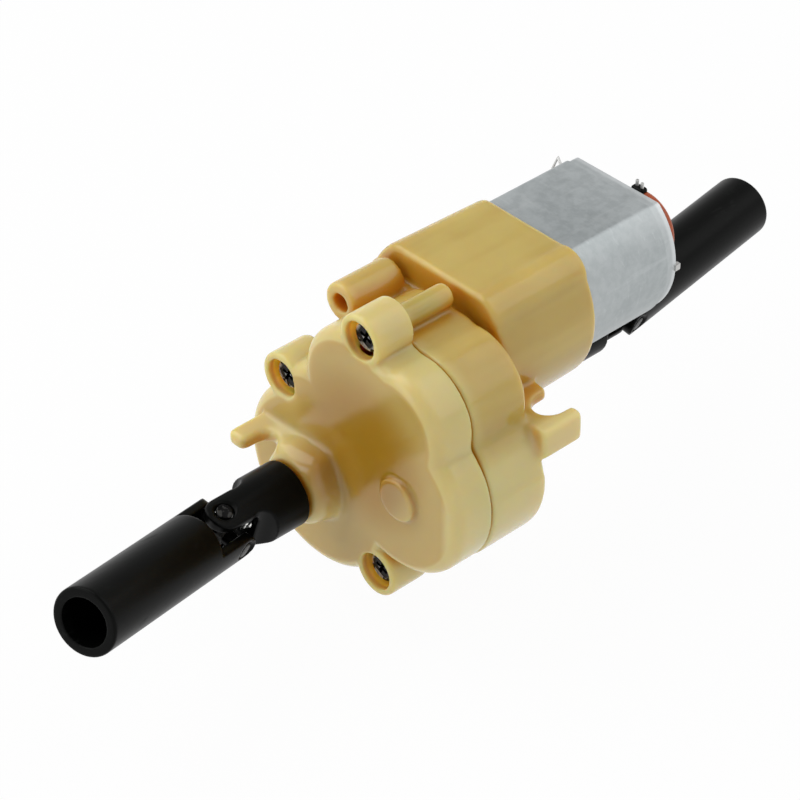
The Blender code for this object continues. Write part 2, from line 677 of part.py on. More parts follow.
def output_train():
    """The shaft, the two bushes it turns in and the gear on it."""
    socket_floor = YOKE_LENGTH - YOKE_SOCKET_DEPTH + SEAT_GAP
    front = FRONT_JOINT_Y + socket_floor
    rear = REAR_JOINT_Y - socket_floor
    shaft = part("output_shaft", rod(SHAFT_RADIUS, front, rear), STEEL)
    cut(shaft, rod(SHAFT_HOLE_RADIUS, front - 1, front + SHAFT_HOLE_DEPTH, sides=16))
    cut(shaft, rod(SHAFT_HOLE_RADIUS, rear - SHAFT_HOLE_DEPTH, rear + 1, sides=16))
    bore = SHAFT_RADIUS + RUN_GAP
    part("front_bush", ring(BUSH_RADIUS, bore, COVER_FACE - FRONT_BOSS_LENGTH, COVER_INSIDE), BRASS)
    part("rear_bush", ring(BUSH_RADIUS, bore, CASE_INSIDE, REAR_BOSS_FACE), BRASS)
    teeth = gear_outline(OUTPUT_TEETH, bearing(OUTPUT_AXIS, LOWER_IDLER) + 180 / OUTPUT_TEETH)
    gear = part("output_gear", plate([teeth], FRONT_PLANE, FRONT_PLANE + FACE_WIDTH), ACETAL)
    join(gear, rod(OUTPUT_HUB_RADIUS, HUB_FRONT, HUB_REAR))
    cut(gear, rod(SHAFT_RADIUS + PRESS_GAP, HUB_FRONT - 1, HUB_REAR + 1))


def idler(name, axis, front_gear, rear_gear, hub_front):
    """A compound gear, free on a fixed pin; each gear is (teeth, tooth direction, front, rear)."""
    teeth = plate([gear_outline(*rear_gear[:2])], *rear_gear[2:])
    gear = part(f"{name}_gear", teeth, ACETAL, in_space(axis, 0))
    join(gear, plate([gear_outline(*front_gear[:2])], *front_gear[2:]))
    join(gear, rod(IDLER_HUB_RADIUS, hub_front, HUB_REAR))
    cut(gear, rod(IDLER_PIN_RADIUS + RUN_GAP, HUB_FRONT - 1, HUB_REAR + 1))
    front = COVER_INSIDE - IDLER_PIN_SOCKET + SEAT_GAP
    rear = CASE_INSIDE + IDLER_PIN_SOCKET - SEAT_GAP
    part(f"{name}_pin", rod(IDLER_PIN_RADIUS, front, rear), STEEL, in_space(axis, 0))


def idlers():
    """Each front gear has a tooth towards its partner, and each rear gear has a space there."""
    idler("lower_idler", LOWER_IDLER,
          (LOWER_FRONT_TEETH, bearing(LOWER_IDLER, OUTPUT_AXIS),
           FRONT_PLANE, MIDDLE_PLANE_FRONT - GEAR_GAP / 2),
          (LOWER_REAR_TEETH, bearing(LOWER_IDLER, UPPER_IDLER) + 180 / LOWER_REAR_TEETH,
           MIDDLE_PLANE_FRONT - GEAR_GAP * 3 / 4, MIDDLE_PLANE_REAR), HUB_FRONT)
    idler("upper_idler", UPPER_IDLER,
          (UPPER_FRONT_TEETH, bearing(UPPER_IDLER, LOWER_IDLER),
           MIDDLE_PLANE_FRONT, REAR_PLANE_FRONT + GEAR_GAP),
          (UPPER_REAR_TEETH, bearing(UPPER_IDLER, MOTOR_AXIS) + 180 / UPPER_REAR_TEETH,
           REAR_PLANE_FRONT, REAR_PLANE_REAR), MIDDLE_PLANE_FRONT + GEAR_GAP)


def motor_case():
    """The can, its end cap, the magnets and both bushes."""
    rounds = [(CAN_FRONT + back, step) for back, step in CAN_FRONT_ROUND]
    rounds += [(CAN_REAR - ahead, step) for ahead, step in CAN_REAR_ROUND]
    can = part("motor_can", loft([can_ring(y, step) for y, step in rounds]), TINPLATE)
    inner = flat_round(CAN_RADIUS - CAN_WALL, CAN_HALF_HEIGHT - CAN_WALL, CAN_BLEND)
    nose = CAN_FRONT - NOSE_LENGTH
    join(can, rod(NOSE_RADIUS, nose, CAN_FRONT + CAN_WALL / 2, MOTOR_AXIS))
    cut(can, plate([inner], CAN_FRONT + CAN_WALL, CAN_REAR + 1))
    cut(can, rod(MOTOR_BUSH_RADIUS + PRESS_GAP, nose - 1, CAN_FRONT + 1, MOTOR_AXIS))
    for place in MOTOR_SCREWS.values():
        cut(can, rod(MOTOR_SCREW_RADIUS + PRESS_GAP, CAN_FRONT - 1, CAN_FRONT + 1, place, sides=16))

    side_room = CAN_WALL + SEAT_GAP
    cap_outline = flat_round(CAN_RADIUS - side_room, CAN_HALF_HEIGHT - side_room, CAN_BLEND)
    cap = part("motor_end_cap", plate([cap_outline], END_CAP_FRONT, END_CAP_REAR), BLACK)
    join(cap, rod(END_CAP_HUB_RADIUS, END_CAP_FRONT + 1, END_CAP_HUB_REAR, MOTOR_AXIS))
    cut(cap, rod(MOTOR_BUSH_RADIUS + PRESS_GAP, END_CAP_FRONT - 1, END_CAP_HUB_REAR - SEAT_GAP, MOTOR_AXIS))
    for side in (-1, 1):
        cut(cap, terminal_bar(side, END_CAP_FRONT - 1, END_CAP_REAR + 1, RUN_GAP))

    axis = in_space(MOTOR_AXIS, 0)
    bore = MOTOR_SHAFT_RADIUS + RUN_GAP
    for name, front in (("front", nose), ("rear", MOTOR_SHAFT_REAR - MOTOR_BUSH_LENGTH)):
        bush = ring(MOTOR_BUSH_RADIUS, bore, front, front + MOTOR_BUSH_LENGTH)
        part(f"motor_{name}_bush", bush, BRASS, axis)

    outer_arc = CAN_RADIUS - side_room
    inner_arc = ARMATURE_RADIUS + MAGNET_GAP
    front = ARMATURE_FRONT + (ARMATURE_LENGTH - MAGNET_LENGTH) / 2
    spread = [MAGNET_HALF_ANGLE * i / 6 for i in range(-6, 7)]
    for name, middle in (("left", 180), ("right", 0)):
        arc = [along(middle + angle, outer_arc) for angle in spread]
        arc += [along(middle + angle, inner_arc) for angle in reversed(spread)]
        part(f"magnet_{name}", plate([arc], front, front + MAGNET_LENGTH), FERRITE, axis)


def rotor():
    """The shaft with its pinion, the wound armature and the commutator."""
    axis = in_space(MOTOR_AXIS, 0)
    front = REAR_PLANE_FRONT - GEAR_GAP
    part("motor_shaft", rod(MOTOR_SHAFT_RADIUS, front, MOTOR_SHAFT_REAR), STEEL, axis)
    fixed = MOTOR_SHAFT_RADIUS + PRESS_GAP
    teeth = gear_outline(PINION_TEETH, bearing(MOTOR_AXIS, UPPER_IDLER))
    pinion = plate([teeth, circle(fixed)], REAR_PLANE_FRONT - SEAT_GAP, REAR_PLANE_REAR + SEAT_GAP)
    part("motor_pinion", pinion, BRASS, axis)
    rear = ARMATURE_FRONT + ARMATURE_LENGTH
    part("armature_core", plate([armature_outline(), circle(fixed)], ARMATURE_FRONT, rear), LAMINATION, axis)
    part("commutator", ring(COMMUTATOR_RADIUS, fixed, COMMUTATOR_FRONT, COMMUTATOR_FRONT + COMMUTATOR_LENGTH),
         COPPER, axis)
    low = POLE_NECK + SEAT_GAP
    high = low + WINDING_THICKNESS
    bottom = ARMATURE_HUB + SEAT_GAP
    top = math.sqrt((ARMATURE_RADIUS - POLE_DEPTH - SEAT_GAP) ** 2 - high ** 2)
    for pole in range(POLES):
        turn = Matrix.Rotation(-math.radians(90 + 360 * pole / POLES), 4, "Y")
        coil = block((bottom, ARMATURE_FRONT - WINDING_THICKNESS - SEAT_GAP, -high),
                     (top, rear + WINDING_THICKNESS + SEAT_GAP, high))
        hole = block((0, ARMATURE_FRONT - SEAT_GAP, -low), (ARMATURE_RADIUS, rear + SEAT_GAP, low))
        coil.transform(turn)
        hole.transform(turn)
        cut(part(f"winding_{pole + 1}", coil, COPPER, axis), hole)


def armature_outline():
    """Three T-shaped poles round a hub, the first one pointing up."""
    inner = ARMATURE_RADIUS - POLE_DEPTH
    neck_foot = math.degrees(math.asin(POLE_NECK / ARMATURE_HUB))
    neck_top = math.degrees(math.asin(POLE_NECK / inner))
    points = []
    for pole in range(POLES):
        middle = 90 + 360 * pole / POLES
        side = [(neck_foot, ARMATURE_HUB), (neck_top, inner), ((neck_top + POLE_HALF_ANGLE) / 2, inner),
                (POLE_HALF_ANGLE, inner)]
        face = [POLE_HALF_ANGLE * i / 4 for i in range(-4, 5)]
        points += [along(middle - angle, radius) for angle, radius in side]
        points += [along(middle + angle, ARMATURE_RADIUS) for angle in face]
        points += [along(middle + angle, radius) for angle, radius in reversed(side)]
    return points


def terminal_bar(side, front, rear, room=0.0):
    """A flat bar through the end cap, on the left (-1) or right (1), made larger all round by room."""
    x = MOTOR_AXIS[0] + side * TERMINAL_SPREAD
    thick = TERMINAL_THICKNESS / 2 + room
    wide = TERMINAL_WIDTH / 2 + room
    return block((x - thick, front, MOTOR_AXIS[1] - wide), (x + thick, rear, MOTOR_AXIS[1] + wide))


def contacts():
    """Terminals, the brushes beside them and the capacitor across them."""
    brush_rear = END_CAP_FRONT - SEAT_GAP
    for name, side in (("left", -1), ("right", 1)):
        terminal = terminal_bar(side, brush_rear - BRUSH_WIDTH, END_CAP_REAR + TERMINAL_REACH)
        part(f"terminal_{name}", terminal, TIN)
        near = MOTOR_AXIS[0]
        far = MOTOR_AXIS[0] + side * (TERMINAL_SPREAD - TERMINAL_THICKNESS / 2 - SEAT_GAP)
        low = COMMUTATOR_RADIUS + RUN_GAP
        heights = sorted((MOTOR_AXIS[1] + side * low, MOTOR_AXIS[1] + side * (low + BRUSH_THICKNESS)))
        part(f"brush_{name}", block((min(near, far), brush_rear - BRUSH_WIDTH, heights[0]),
                                    (max(near, far), brush_rear, heights[1])), COPPER)
    middle = (MOTOR_AXIS[0] + CAPACITOR_OFFSET[0], MOTOR_AXIS[1] + CAPACITOR_OFFSET[1])
    front = END_CAP_HUB_REAR + SEAT_GAP
    disc = part("capacitor", rod(CAPACITOR_RADIUS, front, front + CAPACITOR_THICKNESS, middle), CERAMIC)
    lead = cross_rod(LEAD_RADIUS, TERMINAL_SPREAD / 2, "X", sides=12)
    end = MOTOR_AXIS[0] - TERMINAL_SPREAD + TERMINAL_THICKNESS / 2 + SEAT_GAP
    place = (end + TERMINAL_SPREAD / 2, front + CAPACITOR_THICKNESS / 2, middle[1] - LEAD_DROP)
    lead.transform(Matrix.Translation(Vector(place) * MM))
    join(disc, lead)


def fork(target, depth, half_width, turn):
    """Cut a round bar into two rounded ears on its own +Z and -Z; turn then moves the cuts elsewhere."""
    far = TUBE_RADIUS + 1
    tip = -half_width
    side = [(half_width, depth)]
    side += [along(angle, half_width) for angle in range(0, -91, -15)]
    side += [(0.0, tip - 1), (far, tip - 1), (far, depth)]
    other_side = [(-x, y) for x, y in side]
    half = FORK_HALF_GAP
    corner = (half - FORK_CORNER, depth - FORK_CORNER)
    right = [along(angle, FORK_CORNER, corner) for angle in range(0, 91, 30)]
    slot = [(half, tip - 1), *right, *((-x, y) for x, y in reversed(right)), (-half, tip - 1)]
    gap = plate([slot], -far, far, "Z")
    gap.transform(Matrix.Rotation(math.pi / 2, 4, "Y"))
    pins = cross_rod(TRUNNION_RADIUS + RUN_GAP, far, "Z", sides=16)
    for tool in (plate([side], -far, far, "Z"), plate([other_side], -far, far, "Z"), gap, pins):
        tool.transform(turn)
        cut(target, tool)


def universal_joint(name, y, facing, bend, tube_length):
    """A yoke on the shaft, a cross and a drive tube, whose own -Y points away from the gearbox."""
    phase = Quaternion((0, 1, 0), math.radians(YOKE_PHASE))
    pins = phase @ Vector((0, 0, 1))
    yoke_turn = phase if facing < 0 else Quaternion(pins, math.pi) @ phase
    cross_turn = Quaternion(pins, math.radians(bend[0])) @ yoke_turn
    tube_turn = Quaternion(cross_turn @ Vector((1, 0, 0)), math.radians(bend[1])) @ cross_turn
    centre = Vector((0, y, 0))

    bar = rod(TUBE_RADIUS, -YOKE_EAR_HALF_WIDTH, YOKE_LENGTH, sides=FINE_SIDES)
    yoke = part(f"{name}_yoke", bar, BLACK, centre, yoke_turn)
    fork(yoke, YOKE_FORK_DEPTH, YOKE_EAR_HALF_WIDTH, Matrix.Identity(4))
    cut(yoke, rod(SHAFT_RADIUS + PRESS_GAP, YOKE_LENGTH - YOKE_SOCKET_DEPTH, YOKE_LENGTH + 1))
    cut(yoke, rod(SHAFT_HOLE_RADIUS, 0, YOKE_LENGTH, sides=16))
    screw(f"{name}_yoke_screw", centre + yoke_turn @ Vector((0, YOKE_FORK_DEPTH, 0)), YOKE_SCREW_HEAD_RADIUS,
          YOKE_SCREW_HEAD_HEIGHT, SHAFT_HOLE_RADIUS - PRESS_GAP, YOKE_SCREW_LENGTH, BLACK_STEEL, yoke_turn)

    body = CROSS_BODY_HALF
    cross = part(f"{name}_cross", block([-body] * 3, [body] * 3), STEEL, centre, cross_turn)
    join(cross, cross_rod(TRUNNION_RADIUS, TRUNNION_REACH, "X", sides=16))
    join(cross, cross_rod(TRUNNION_RADIUS, TRUNNION_REACH, "Z", sides=16))

    bar = rod(TUBE_RADIUS, -tube_length, TUBE_EAR_HALF_WIDTH, sides=FINE_SIDES)
    tube = part(f"{name}_tube", bar, BLACK, centre, tube_turn)
    fork(tube, TUBE_FORK_DEPTH, TUBE_EAR_HALF_WIDTH,
         Matrix.Rotation(math.pi, 4, "Z") @ Matrix.Rotation(math.pi / 2, 4, "Y"))
    cut(tube, rod(TUBE_BORE_RADIUS, -tube_length - 1, -TUBE_FORK_DEPTH - TUBE_FLOOR, sides=FINE_SIDES))


for old in list(bpy.data.objects):
    bpy.data.objects.remove(old, do_unlink=True)
PARTS = new_collection("geared_drive_motor")
TOOLS = new_collection("cutters")
NYLON = finish("ivory_nylon", (0.72, 0.58, 0.33), 0.4)
BLACK = finish("black_plastic", (0.012, 0.012, 0.013), 0.35)
ACETAL = finish("white_acetal", (0.82, 0.82, 0.78), 0.45)
STEEL = finish("steel", (0.42, 0.42, 0.43), 0.35, 1.0)
BLACK_STEEL = finish("blackened_steel", (0.02, 0.02, 0.022), 0.3, 0.6)
TINPLATE = finish("zinc_plate", (0.55, 0.57, 0.59), 0.4, 1.0)
TIN = finish("tinned_brass", (0.75, 0.74, 0.70), 0.3, 1.0)
BRASS = finish("brass", (0.70, 0.50, 0.22), 0.35, 1.0)
COPPER = finish("copper", (0.72, 0.33, 0.16), 0.4, 1.0)
LAMINATION = finish("laminated_steel", (0.30, 0.30, 0.31), 0.5, 1.0)
FERRITE = finish("ferrite", (0.07, 0.07, 0.075), 0.7)
CERAMIC = finish("capacitor_ceramic", (0.60, 0.24, 0.05), 0.45)
front_cover()
rear_case()
case_screws()
output_train()
idlers()
motor_case()
rotor()
contacts()
universal_joint("front", FRONT_JOINT_Y, -1, FRONT_BEND, FRONT_TUBE_LENGTH)
universal_joint("rear", REAR_JOINT_Y, 1, REAR_BEND, REAR_TUBE_LENGTH)
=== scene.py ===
"""Studio picture of a geared drive motor: moulded nylon gearbox, zinc-plated can and black drive tubes.

Sizes are in millimetres and become metres when a piece is made. +X is to the right of the front
cover, +Y runs along the output shaft from the cover to the motor's rear, +Z is up.
"""
import json
import math

import bpy
from mathutils import Matrix, Vector


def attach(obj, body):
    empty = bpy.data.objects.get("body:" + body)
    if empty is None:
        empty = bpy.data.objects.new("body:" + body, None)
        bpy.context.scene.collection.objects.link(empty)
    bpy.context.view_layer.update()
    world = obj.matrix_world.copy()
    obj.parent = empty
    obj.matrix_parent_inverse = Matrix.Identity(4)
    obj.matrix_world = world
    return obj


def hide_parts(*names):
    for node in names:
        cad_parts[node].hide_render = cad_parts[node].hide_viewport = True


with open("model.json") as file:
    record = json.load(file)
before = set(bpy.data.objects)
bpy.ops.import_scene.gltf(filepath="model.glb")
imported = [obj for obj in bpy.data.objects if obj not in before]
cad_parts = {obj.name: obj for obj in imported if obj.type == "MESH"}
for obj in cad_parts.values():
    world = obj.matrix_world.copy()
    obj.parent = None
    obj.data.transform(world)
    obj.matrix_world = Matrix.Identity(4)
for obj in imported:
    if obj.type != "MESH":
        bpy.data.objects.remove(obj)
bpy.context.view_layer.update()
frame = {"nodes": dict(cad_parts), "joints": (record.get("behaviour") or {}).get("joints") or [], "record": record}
nodes = frame["nodes"]
joints = {joint["name"]: joint for joint in frame["joints"]}
mounts = {mount["name"]: mount for mount in frame["record"]["mounts"]}

MM = 0.001
NEAR = 0.02                # two places closer than this are taken as one
ROUND = 64
FINE_ROUND = 128

# Gearbox: lobes round the gears as (x, z) and radius, in both shells
COVER_FACE = -5.6
CASE_REAR = 8.4
SEAM = 0.02
COVER_MIDDLE = (8.0, 8.5)
COVER_PAINTED_GLOW = (4.0, 12.0)   # painted glow and shade: the cover is painted amber at its middle and paler from the first to the second distance from it
COVER_PROUD = 0.06         # the cover's side stands proud of the case's by this much
LOBES = [((-0.15, -0.6), 11.9), ((13.0, 5.2), 10.5), ((13.0, 14.2), 7.3), ((6.0, 15.0), 8.0),
         ((-1.2, 9.2), 5.2), ((9.5, 14.6), 7.2)]
CASE_LOBES = [*LOBES[:3], ((6.0, 15.0), 7.2), *LOBES[4:]]
SIDE_WALL = 1.6
COVER_WALL = 1.4
CASE_WALL = 1.5
COVER_EDGE = 1.7
CASE_EDGE = 0.6
WAIST = (20.18, 12.86)     # where the two right-hand lobes meet
WAIST_REACH = 4.0
BOSS_REACH = 9.5
COVER_SCREWS = {"top": (7.6, 23.4), "left": (-5.8, 10.8), "bottom": (10.0, -8.35)}
COVER_BOSS_RADIUS = 3.2
COVER_BOSS_FACE = -5.5
CASE_POSTS = {"top": (1.5, 7.7), "left": (2.0, 8.5), "bottom": (2.6, 8.5)}   # radius and rear end
LOWER_STEP = (0.18, 6.6)   # the lower lobe stands proud by the first, below the second
SCREW_SEAT = -2.9
RECESS_RADIUS = 2.35
SCREW_HEAD_RADIUS = 1.95
SCREW_HEAD_HEIGHT = 1.3
SCREW_SHANK_RADIUS = 0.9
SCREW_LENGTH = 8.5
PIVOT_CAP_RADIUS = 2.7
PIVOT_CAP_HEIGHT = 0.75
FRONT_BOSS_TIP = -9.5
FRONT_BOSS_RADII = (4.7, 5.4)
REAR_BOSS_REAR = 11.6
REAR_BOSS_RADIUS = 4.6
BUSH_SEAT_RADIUS = 2.58

# Motor and the sleeve round it
MOTOR_AXIS = (3.6, 15.0)
CAN_RADIUS = 10.2
CAN_HALF_HEIGHT = 7.7
CAN_FRONT = 10.1
CAN_REAR = 39.5
CAN_WALL = 1.0
CAN_LIP = (0.22, 0.14, 1.8)   # the rear edge steps in by the first within the second, and runs on to the third
CAN_CORNER = 1.0
SLEEVE_AXIS = (4.25, 15.0)
SLEEVE_RADIUS = 11.3
SLEEVE_HALF_HEIGHT = 8.7
SLEEVE_DRAFT = 0.35
SLEEVE_CHEEK = (11.1, 5.4)     # radius and half height of the fuller wall on the can's left
SLEEVE_NECK = (8.0, 3.5)   # the neck's front, and how far it lies within the sleeve
SLEEVE_FRONT = 9.2
SLEEVE_FLOOR = 9.9
SLEEVE_REAR = 24.1
SLEEVE_CORNER = 2.4
SLEEVE_RIM = 0.55          # rounding of the front rim
SLEEVE_BULGE = ((10.8, 20.7), 3.2)   # fuller corner on the upper right
CORNER_STEPS = 6           # planes that round a corner between a flat and the round side
CAN_ROOM = 0.05
CAN_TAB = (0.8, 0.55)      # width and reach of the crimped tabs on the can's rear rim
CAPACITOR = ((6.9, 16.9), 4.7, (39.85, 41.45))   # middle, radius, front and rear
LEAD_RADIUS = 0.28
LEAD_SLEEVE = ((5.0, 40.0, 20.2), (6.9, 41.2, 22.1))
LEAD_TIPS = ((5.6, 22.9), (6.4, 22.8))           # place across, and height
TERMINAL_SPREAD = 8.2
TERMINAL_REAR = 40.6
TIE_POINTS = [(-4.6, 40.6, 15.4), (-6.6, 40.8, 16.4), (-8.5, 40.8, 17.6), (-7.7, 40.8, 19.5),
              (-6.8, 40.8, 18.2), (-4.8, 40.9, 15.9)]
TIE_RADIUS = 0.2
HOLLOW_POST = (-2.25, 20.3)
HOLLOW_POST_RADIUS = 2.5
HOLLOW_POST_BORE = 1.15
HOLLOW_POST_FRONT = 0.5
HOLLOW_POST_FLOOR = 6.5

# Lugs with open slots, as (x, y) and radius of the slot's round end
RIGHT_SLOT_RADIUS = 1.85
RIGHT_SLOT = (19.75, 12.05)
RIGHT_LUG = ((10.0, 7.7, 8.7), (23.6, 13.9, 12.6))
RIGHT_LUG_PLATE_LOW = 11.0
LEFT_SLOT_RADIUS = 1.4
LEFT_SLOT = (-4.75, -8.9)
LEFT_LUG = ((-8.85, -11.3, 2.7), (0.0, -5.0, 4.6))
LEFT_LUG_CORNER = 0.6
WEB_FRONT = -6.4
CREST_FRONT = -8.8
CREST_TOP = 5.2

# Universal joints
TUBE_RADIUS = 4.1
TUBE_BORE = 2.9
TUBE_LENGTHS = {"front": 26.2, "rear": 28.5}
TUBE_FLOOR = 8.4
YOKE_LENGTH = 10.2
YOKE_FORK = (3.8, 2.2)     # depth of the fork from the joint's centre, half width of an ear
TUBE_FORK = (5.4, 1.8)
FORK_HALF_GAP = 2.6
FORK_CORNER = 1.0
FORK_SCOOP = 2.0           # radius of the round scoops beside an ear's root
FORK_VOXEL = 0.14
PIN_RADIUS = 0.95
PIN_HOLE = 1.02
PIN_SINK = (1.5, 0.5)      # countersink round a pin's end: radius at the outside, depth
PIN_REACH = 3.9
CROSS_HALF = 1.15


def only(piece):
    """Select one piece alone and make it active."""
    bpy.ops.object.select_all(action="DESELECT")
    piece.select_set(True)
    bpy.context.view_layer.objects.active = piece
    return piece


def seated():
    """The newest primitive, with its place put into its mesh."""
    piece = bpy.context.active_object
    bpy.ops.object.transform_apply(location=True, rotation=True, scale=True)
    return piece


def rod(radius, low, high, at=(0.0, 0.0), sides=ROUND, far_radius=None, axis="Y"):
    """A round bar along one axis; at is its place on the other two, far_radius its size at the high end."""
    bpy.ops.object.select_all(action="DESELECT")
    middle = (low + high) / 2
    place = {"X": (middle, *at), "Y": (at[0], middle, at[1]), "Z": (*at, middle)}[axis]
    turn = {"X": (0, math.pi / 2, 0), "Y": (-math.pi / 2, 0, 0), "Z": (0, 0, 0)}[axis]
    bpy.ops.mesh.primitive_cone_add(
        vertices=sides, radius1=radius * MM, radius2=(radius if far_radius is None else far_radius) * MM,
        depth=(high - low) * MM, location=Vector(place) * MM, rotation=turn)
    return seated()


def block(low, high):
    """A box between two corners."""
    bpy.ops.object.select_all(action="DESELECT")
    low = Vector(low) * MM
    high = Vector(high) * MM
    bpy.ops.mesh.primitive_cube_add(size=1, location=(low + high) / 2, scale=high - low)
    return seated()


def choose(piece, kind, chosen):
    """Select the faces, edges or points of a piece for which chosen(points in millimetres) holds."""
    only(piece)
    bpy.ops.object.mode_set(mode="EDIT")
    bpy.ops.mesh.select_mode(type={"polygons": "FACE", "edges": "EDGE", "vertices": "VERT"}[kind])
    bpy.ops.mesh.select_all(action="DESELECT")
    bpy.ops.object.mode_set(mode="OBJECT")
    points = piece.data.vertices
    for item in getattr(piece.data, kind):
        corners = [item.index] if kind == "vertices" else item.vertices
        item.select = chosen([points[i].co / MM for i in corners])
    bpy.ops.object.mode_set(mode="EDIT")


def done():
    bpy.ops.object.mode_set(mode="OBJECT")


def in_plane(axis, place):
    """A test for what lies in one plane across an axis."""
    return lambda points: all(abs(point[axis] - place) < NEAR for point in points)


def round_edges(piece, chosen, width, steps=4):
    choose(piece, "edges", chosen)
    bpy.ops.mesh.bevel(offset=width * MM, segments=steps, affect="EDGES")
    done()
    return piece


def trim(piece, place, normal):
    """Cut away what lies beyond a plane, and close the cut."""
    choose(piece, "vertices", lambda points: True)
    bpy.ops.mesh.bisect(plane_co=Vector(place) * MM, plane_no=normal, use_fill=True, clear_outer=True,
                        threshold=1e-7)
    done()
    return piece


def combine(piece, operation, *tools):
    """Join tools to a piece, cut them out of it or keep what is common."""
    for tool in tools:
        step = piece.modifiers.new("combine", "BOOLEAN")
        step.operation = operation
        step.object = tool
        only(piece)
        bpy.ops.object.modifier_apply(modifier=step.name)
        bpy.data.meshes.remove(tool.data)
    return piece


def fuse(piece, voxel, smoothing):
    """Melt a piece into one skin of even faces, with every edge softened as in a mould."""
    skin = piece.modifiers.new("skin", "REMESH")
    skin.mode = "VOXEL"
    skin.voxel_size = voxel * MM
    skin.use_smooth_shade = True
    only(piece)
    bpy.ops.object.modifier_apply(modifier=skin.name)
    return soften(piece, smoothing)


def soften(piece, rounds, weight=None):
    """Smooth a skin, all over or where weight(point in millimetres) is above zero."""
    step = piece.modifiers.new("soften", "SMOOTH")
    step.factor = 0.5
    step.iterations = rounds
    if weight:
        group = piece.vertex_groups.new(name="soften")
        for point in piece.data.vertices:
            share = weight(point.co / MM)
            if share > 0:
                group.add([point.index], min(share, 1.0), "REPLACE")
        step.vertex_group = group.name
    only(piece)
    bpy.ops.object.modifier_apply(modifier=step.name)
    piece.vertex_groups.clear()
    return piece


def place(piece, matrix):
    """Move a piece's mesh from its own frame to its place on the object."""
    only(piece)
    piece.matrix_world = matrix
    bpy.ops.object.transform_apply(location=True, rotation=True, scale=True)
    return piece


def dress(piece, name, paint, body, slot, *replaced):
    """Name a finished piece, paint it and tie it to its body and to the nodes it stands for."""
    piece.name = name
    piece.data.name = name
    piece.data.materials.clear()
    piece.data.materials.append(paint)
    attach(piece, body)
    if replaced:
        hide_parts(*replaced)
    return piece


def crisp(piece, angle=30):
    only(piece)
    bpy.ops.object.shade_smooth_by_angle(angle=math.radians(angle))
    return piece


def eased(piece, width):
    """Ease the sharp edges of a cut piece."""
    step = piece.modifiers.new("ease", "BEVEL")
    step.width = width * MM
    step.segments = 3
    step.limit_method = "ANGLE"
    step.angle_limit = math.radians(35)
    only(piece)
    bpy.ops.object.modifier_apply(modifier=step.name)
    return crisp(piece)


def flat_round(radius, half_height, low, high, at, corner, draft=0.0):
    """A round bar with two flats and soft corners between them; draft makes its low end larger."""
    bar = rod(radius + draft, low, high, at, FINE_ROUND, radius)
    lean = draft / (high - low)
    across = math.sqrt((radius - corner) ** 2 - (half_height - corner) ** 2)
    first = math.atan2(half_height - corner, across)
    for up in (1, -1):
        trim(bar, (at[0], high, at[1] + up * half_height), (0, lean, up))
        for right in (1, -1):
            for step in range(1, CORNER_STEPS):
                angle = first + (math.pi / 2 - first) * step / CORNER_STEPS
                out = Vector((right * math.cos(angle), lean, up * math.sin(angle)))
                middle = Vector((at[0] + right * across, high, at[1] + up * (half_height - corner)))
                trim(bar, middle + corner * out, out)
    return bar


def lobed(front, rear, inset=0.0, front_edge=0.0, rear_edge=0.0, lobes=LOBES):
    """The gearbox's outline as one solid."""
    bars = []
    for centre, radius in lobes:
        bar = rod(radius - inset, front, rear, centre, FINE_ROUND)
        for depth, width in ((front, front_edge), (rear, rear_edge)):
            if width:
                round_edges(bar, in_plane(1, depth), width, 6)
        bars.append(bar)
    return combine(bars[0], "UNION", *bars[1:])


def near_waist(point):
    reach = math.hypot(point.x - WAIST[0], point.z - WAIST[1])
    return 1 - reach / WAIST_REACH


def near_boss(point):
    """How much of the cover's skin round the output boss is softened."""
    reach = math.hypot(point.x + 0.5, point.z - 1.5)
    return min(1.0, (BOSS_REACH - reach) / 2) if point.y < COVER_FACE + 0.6 and reach > 3.2 else 0


def output_boss():
    """The boss round the shaft, its crest, the web and the slotted lug on its left."""
    boss = rod(FRONT_BOSS_RADII[0], FRONT_BOSS_TIP, COVER_FACE + 0.7, far_radius=FRONT_BOSS_RADII[1])
    round_edges(boss, in_plane(1, FRONT_BOSS_TIP), 0.5)
    crest = block((-2.6, CREST_FRONT, 1.0), (3.2, COVER_FACE + 0.75, CREST_TOP))
    choose(crest, "vertices", in_plane(2, 1.0))
    bpy.ops.transform.resize(value=(1.7, 1, 1), center_override=(0.3 * MM, 0, 0))
    done()
    round_edges(crest, lambda points: all(point.z > 5 for point in points), 0.8)
    web = block((-8.8, WEB_FRONT, 2.75), (0.0, COVER_FACE + 0.65, CREST_TOP - 0.05))
    choose(web, "vertices", lambda points: points[0].x < -8 and points[0].z > 4)
    bpy.ops.transform.translate(value=(0, 0, -0.6 * MM))
    done()
    lug = block(*LEFT_LUG)
    slot = rod(LEFT_SLOT_RADIUS, 0, 8, LEFT_SLOT, axis="Z")
    mouth = block((LEFT_SLOT[0] - LEFT_SLOT_RADIUS, -13, 0), (1, LEFT_SLOT[1], 8))
    combine(lug, "DIFFERENCE", slot, mouth)
    tip = lambda points: all(point.y < LEFT_LUG[0][1] + NEAR for point in points)
    round_edges(lug, lambda points: tip(points) and abs(points[0].z - points[1].z) > 1, LEFT_LUG_CORNER)
    core = fuse(combine(boss, "UNION", crest), BOSS_VOXEL, 24)
    return combine(core, "UNION", fuse(combine(web, "UNION", lug), LUG_VOXEL, 5))


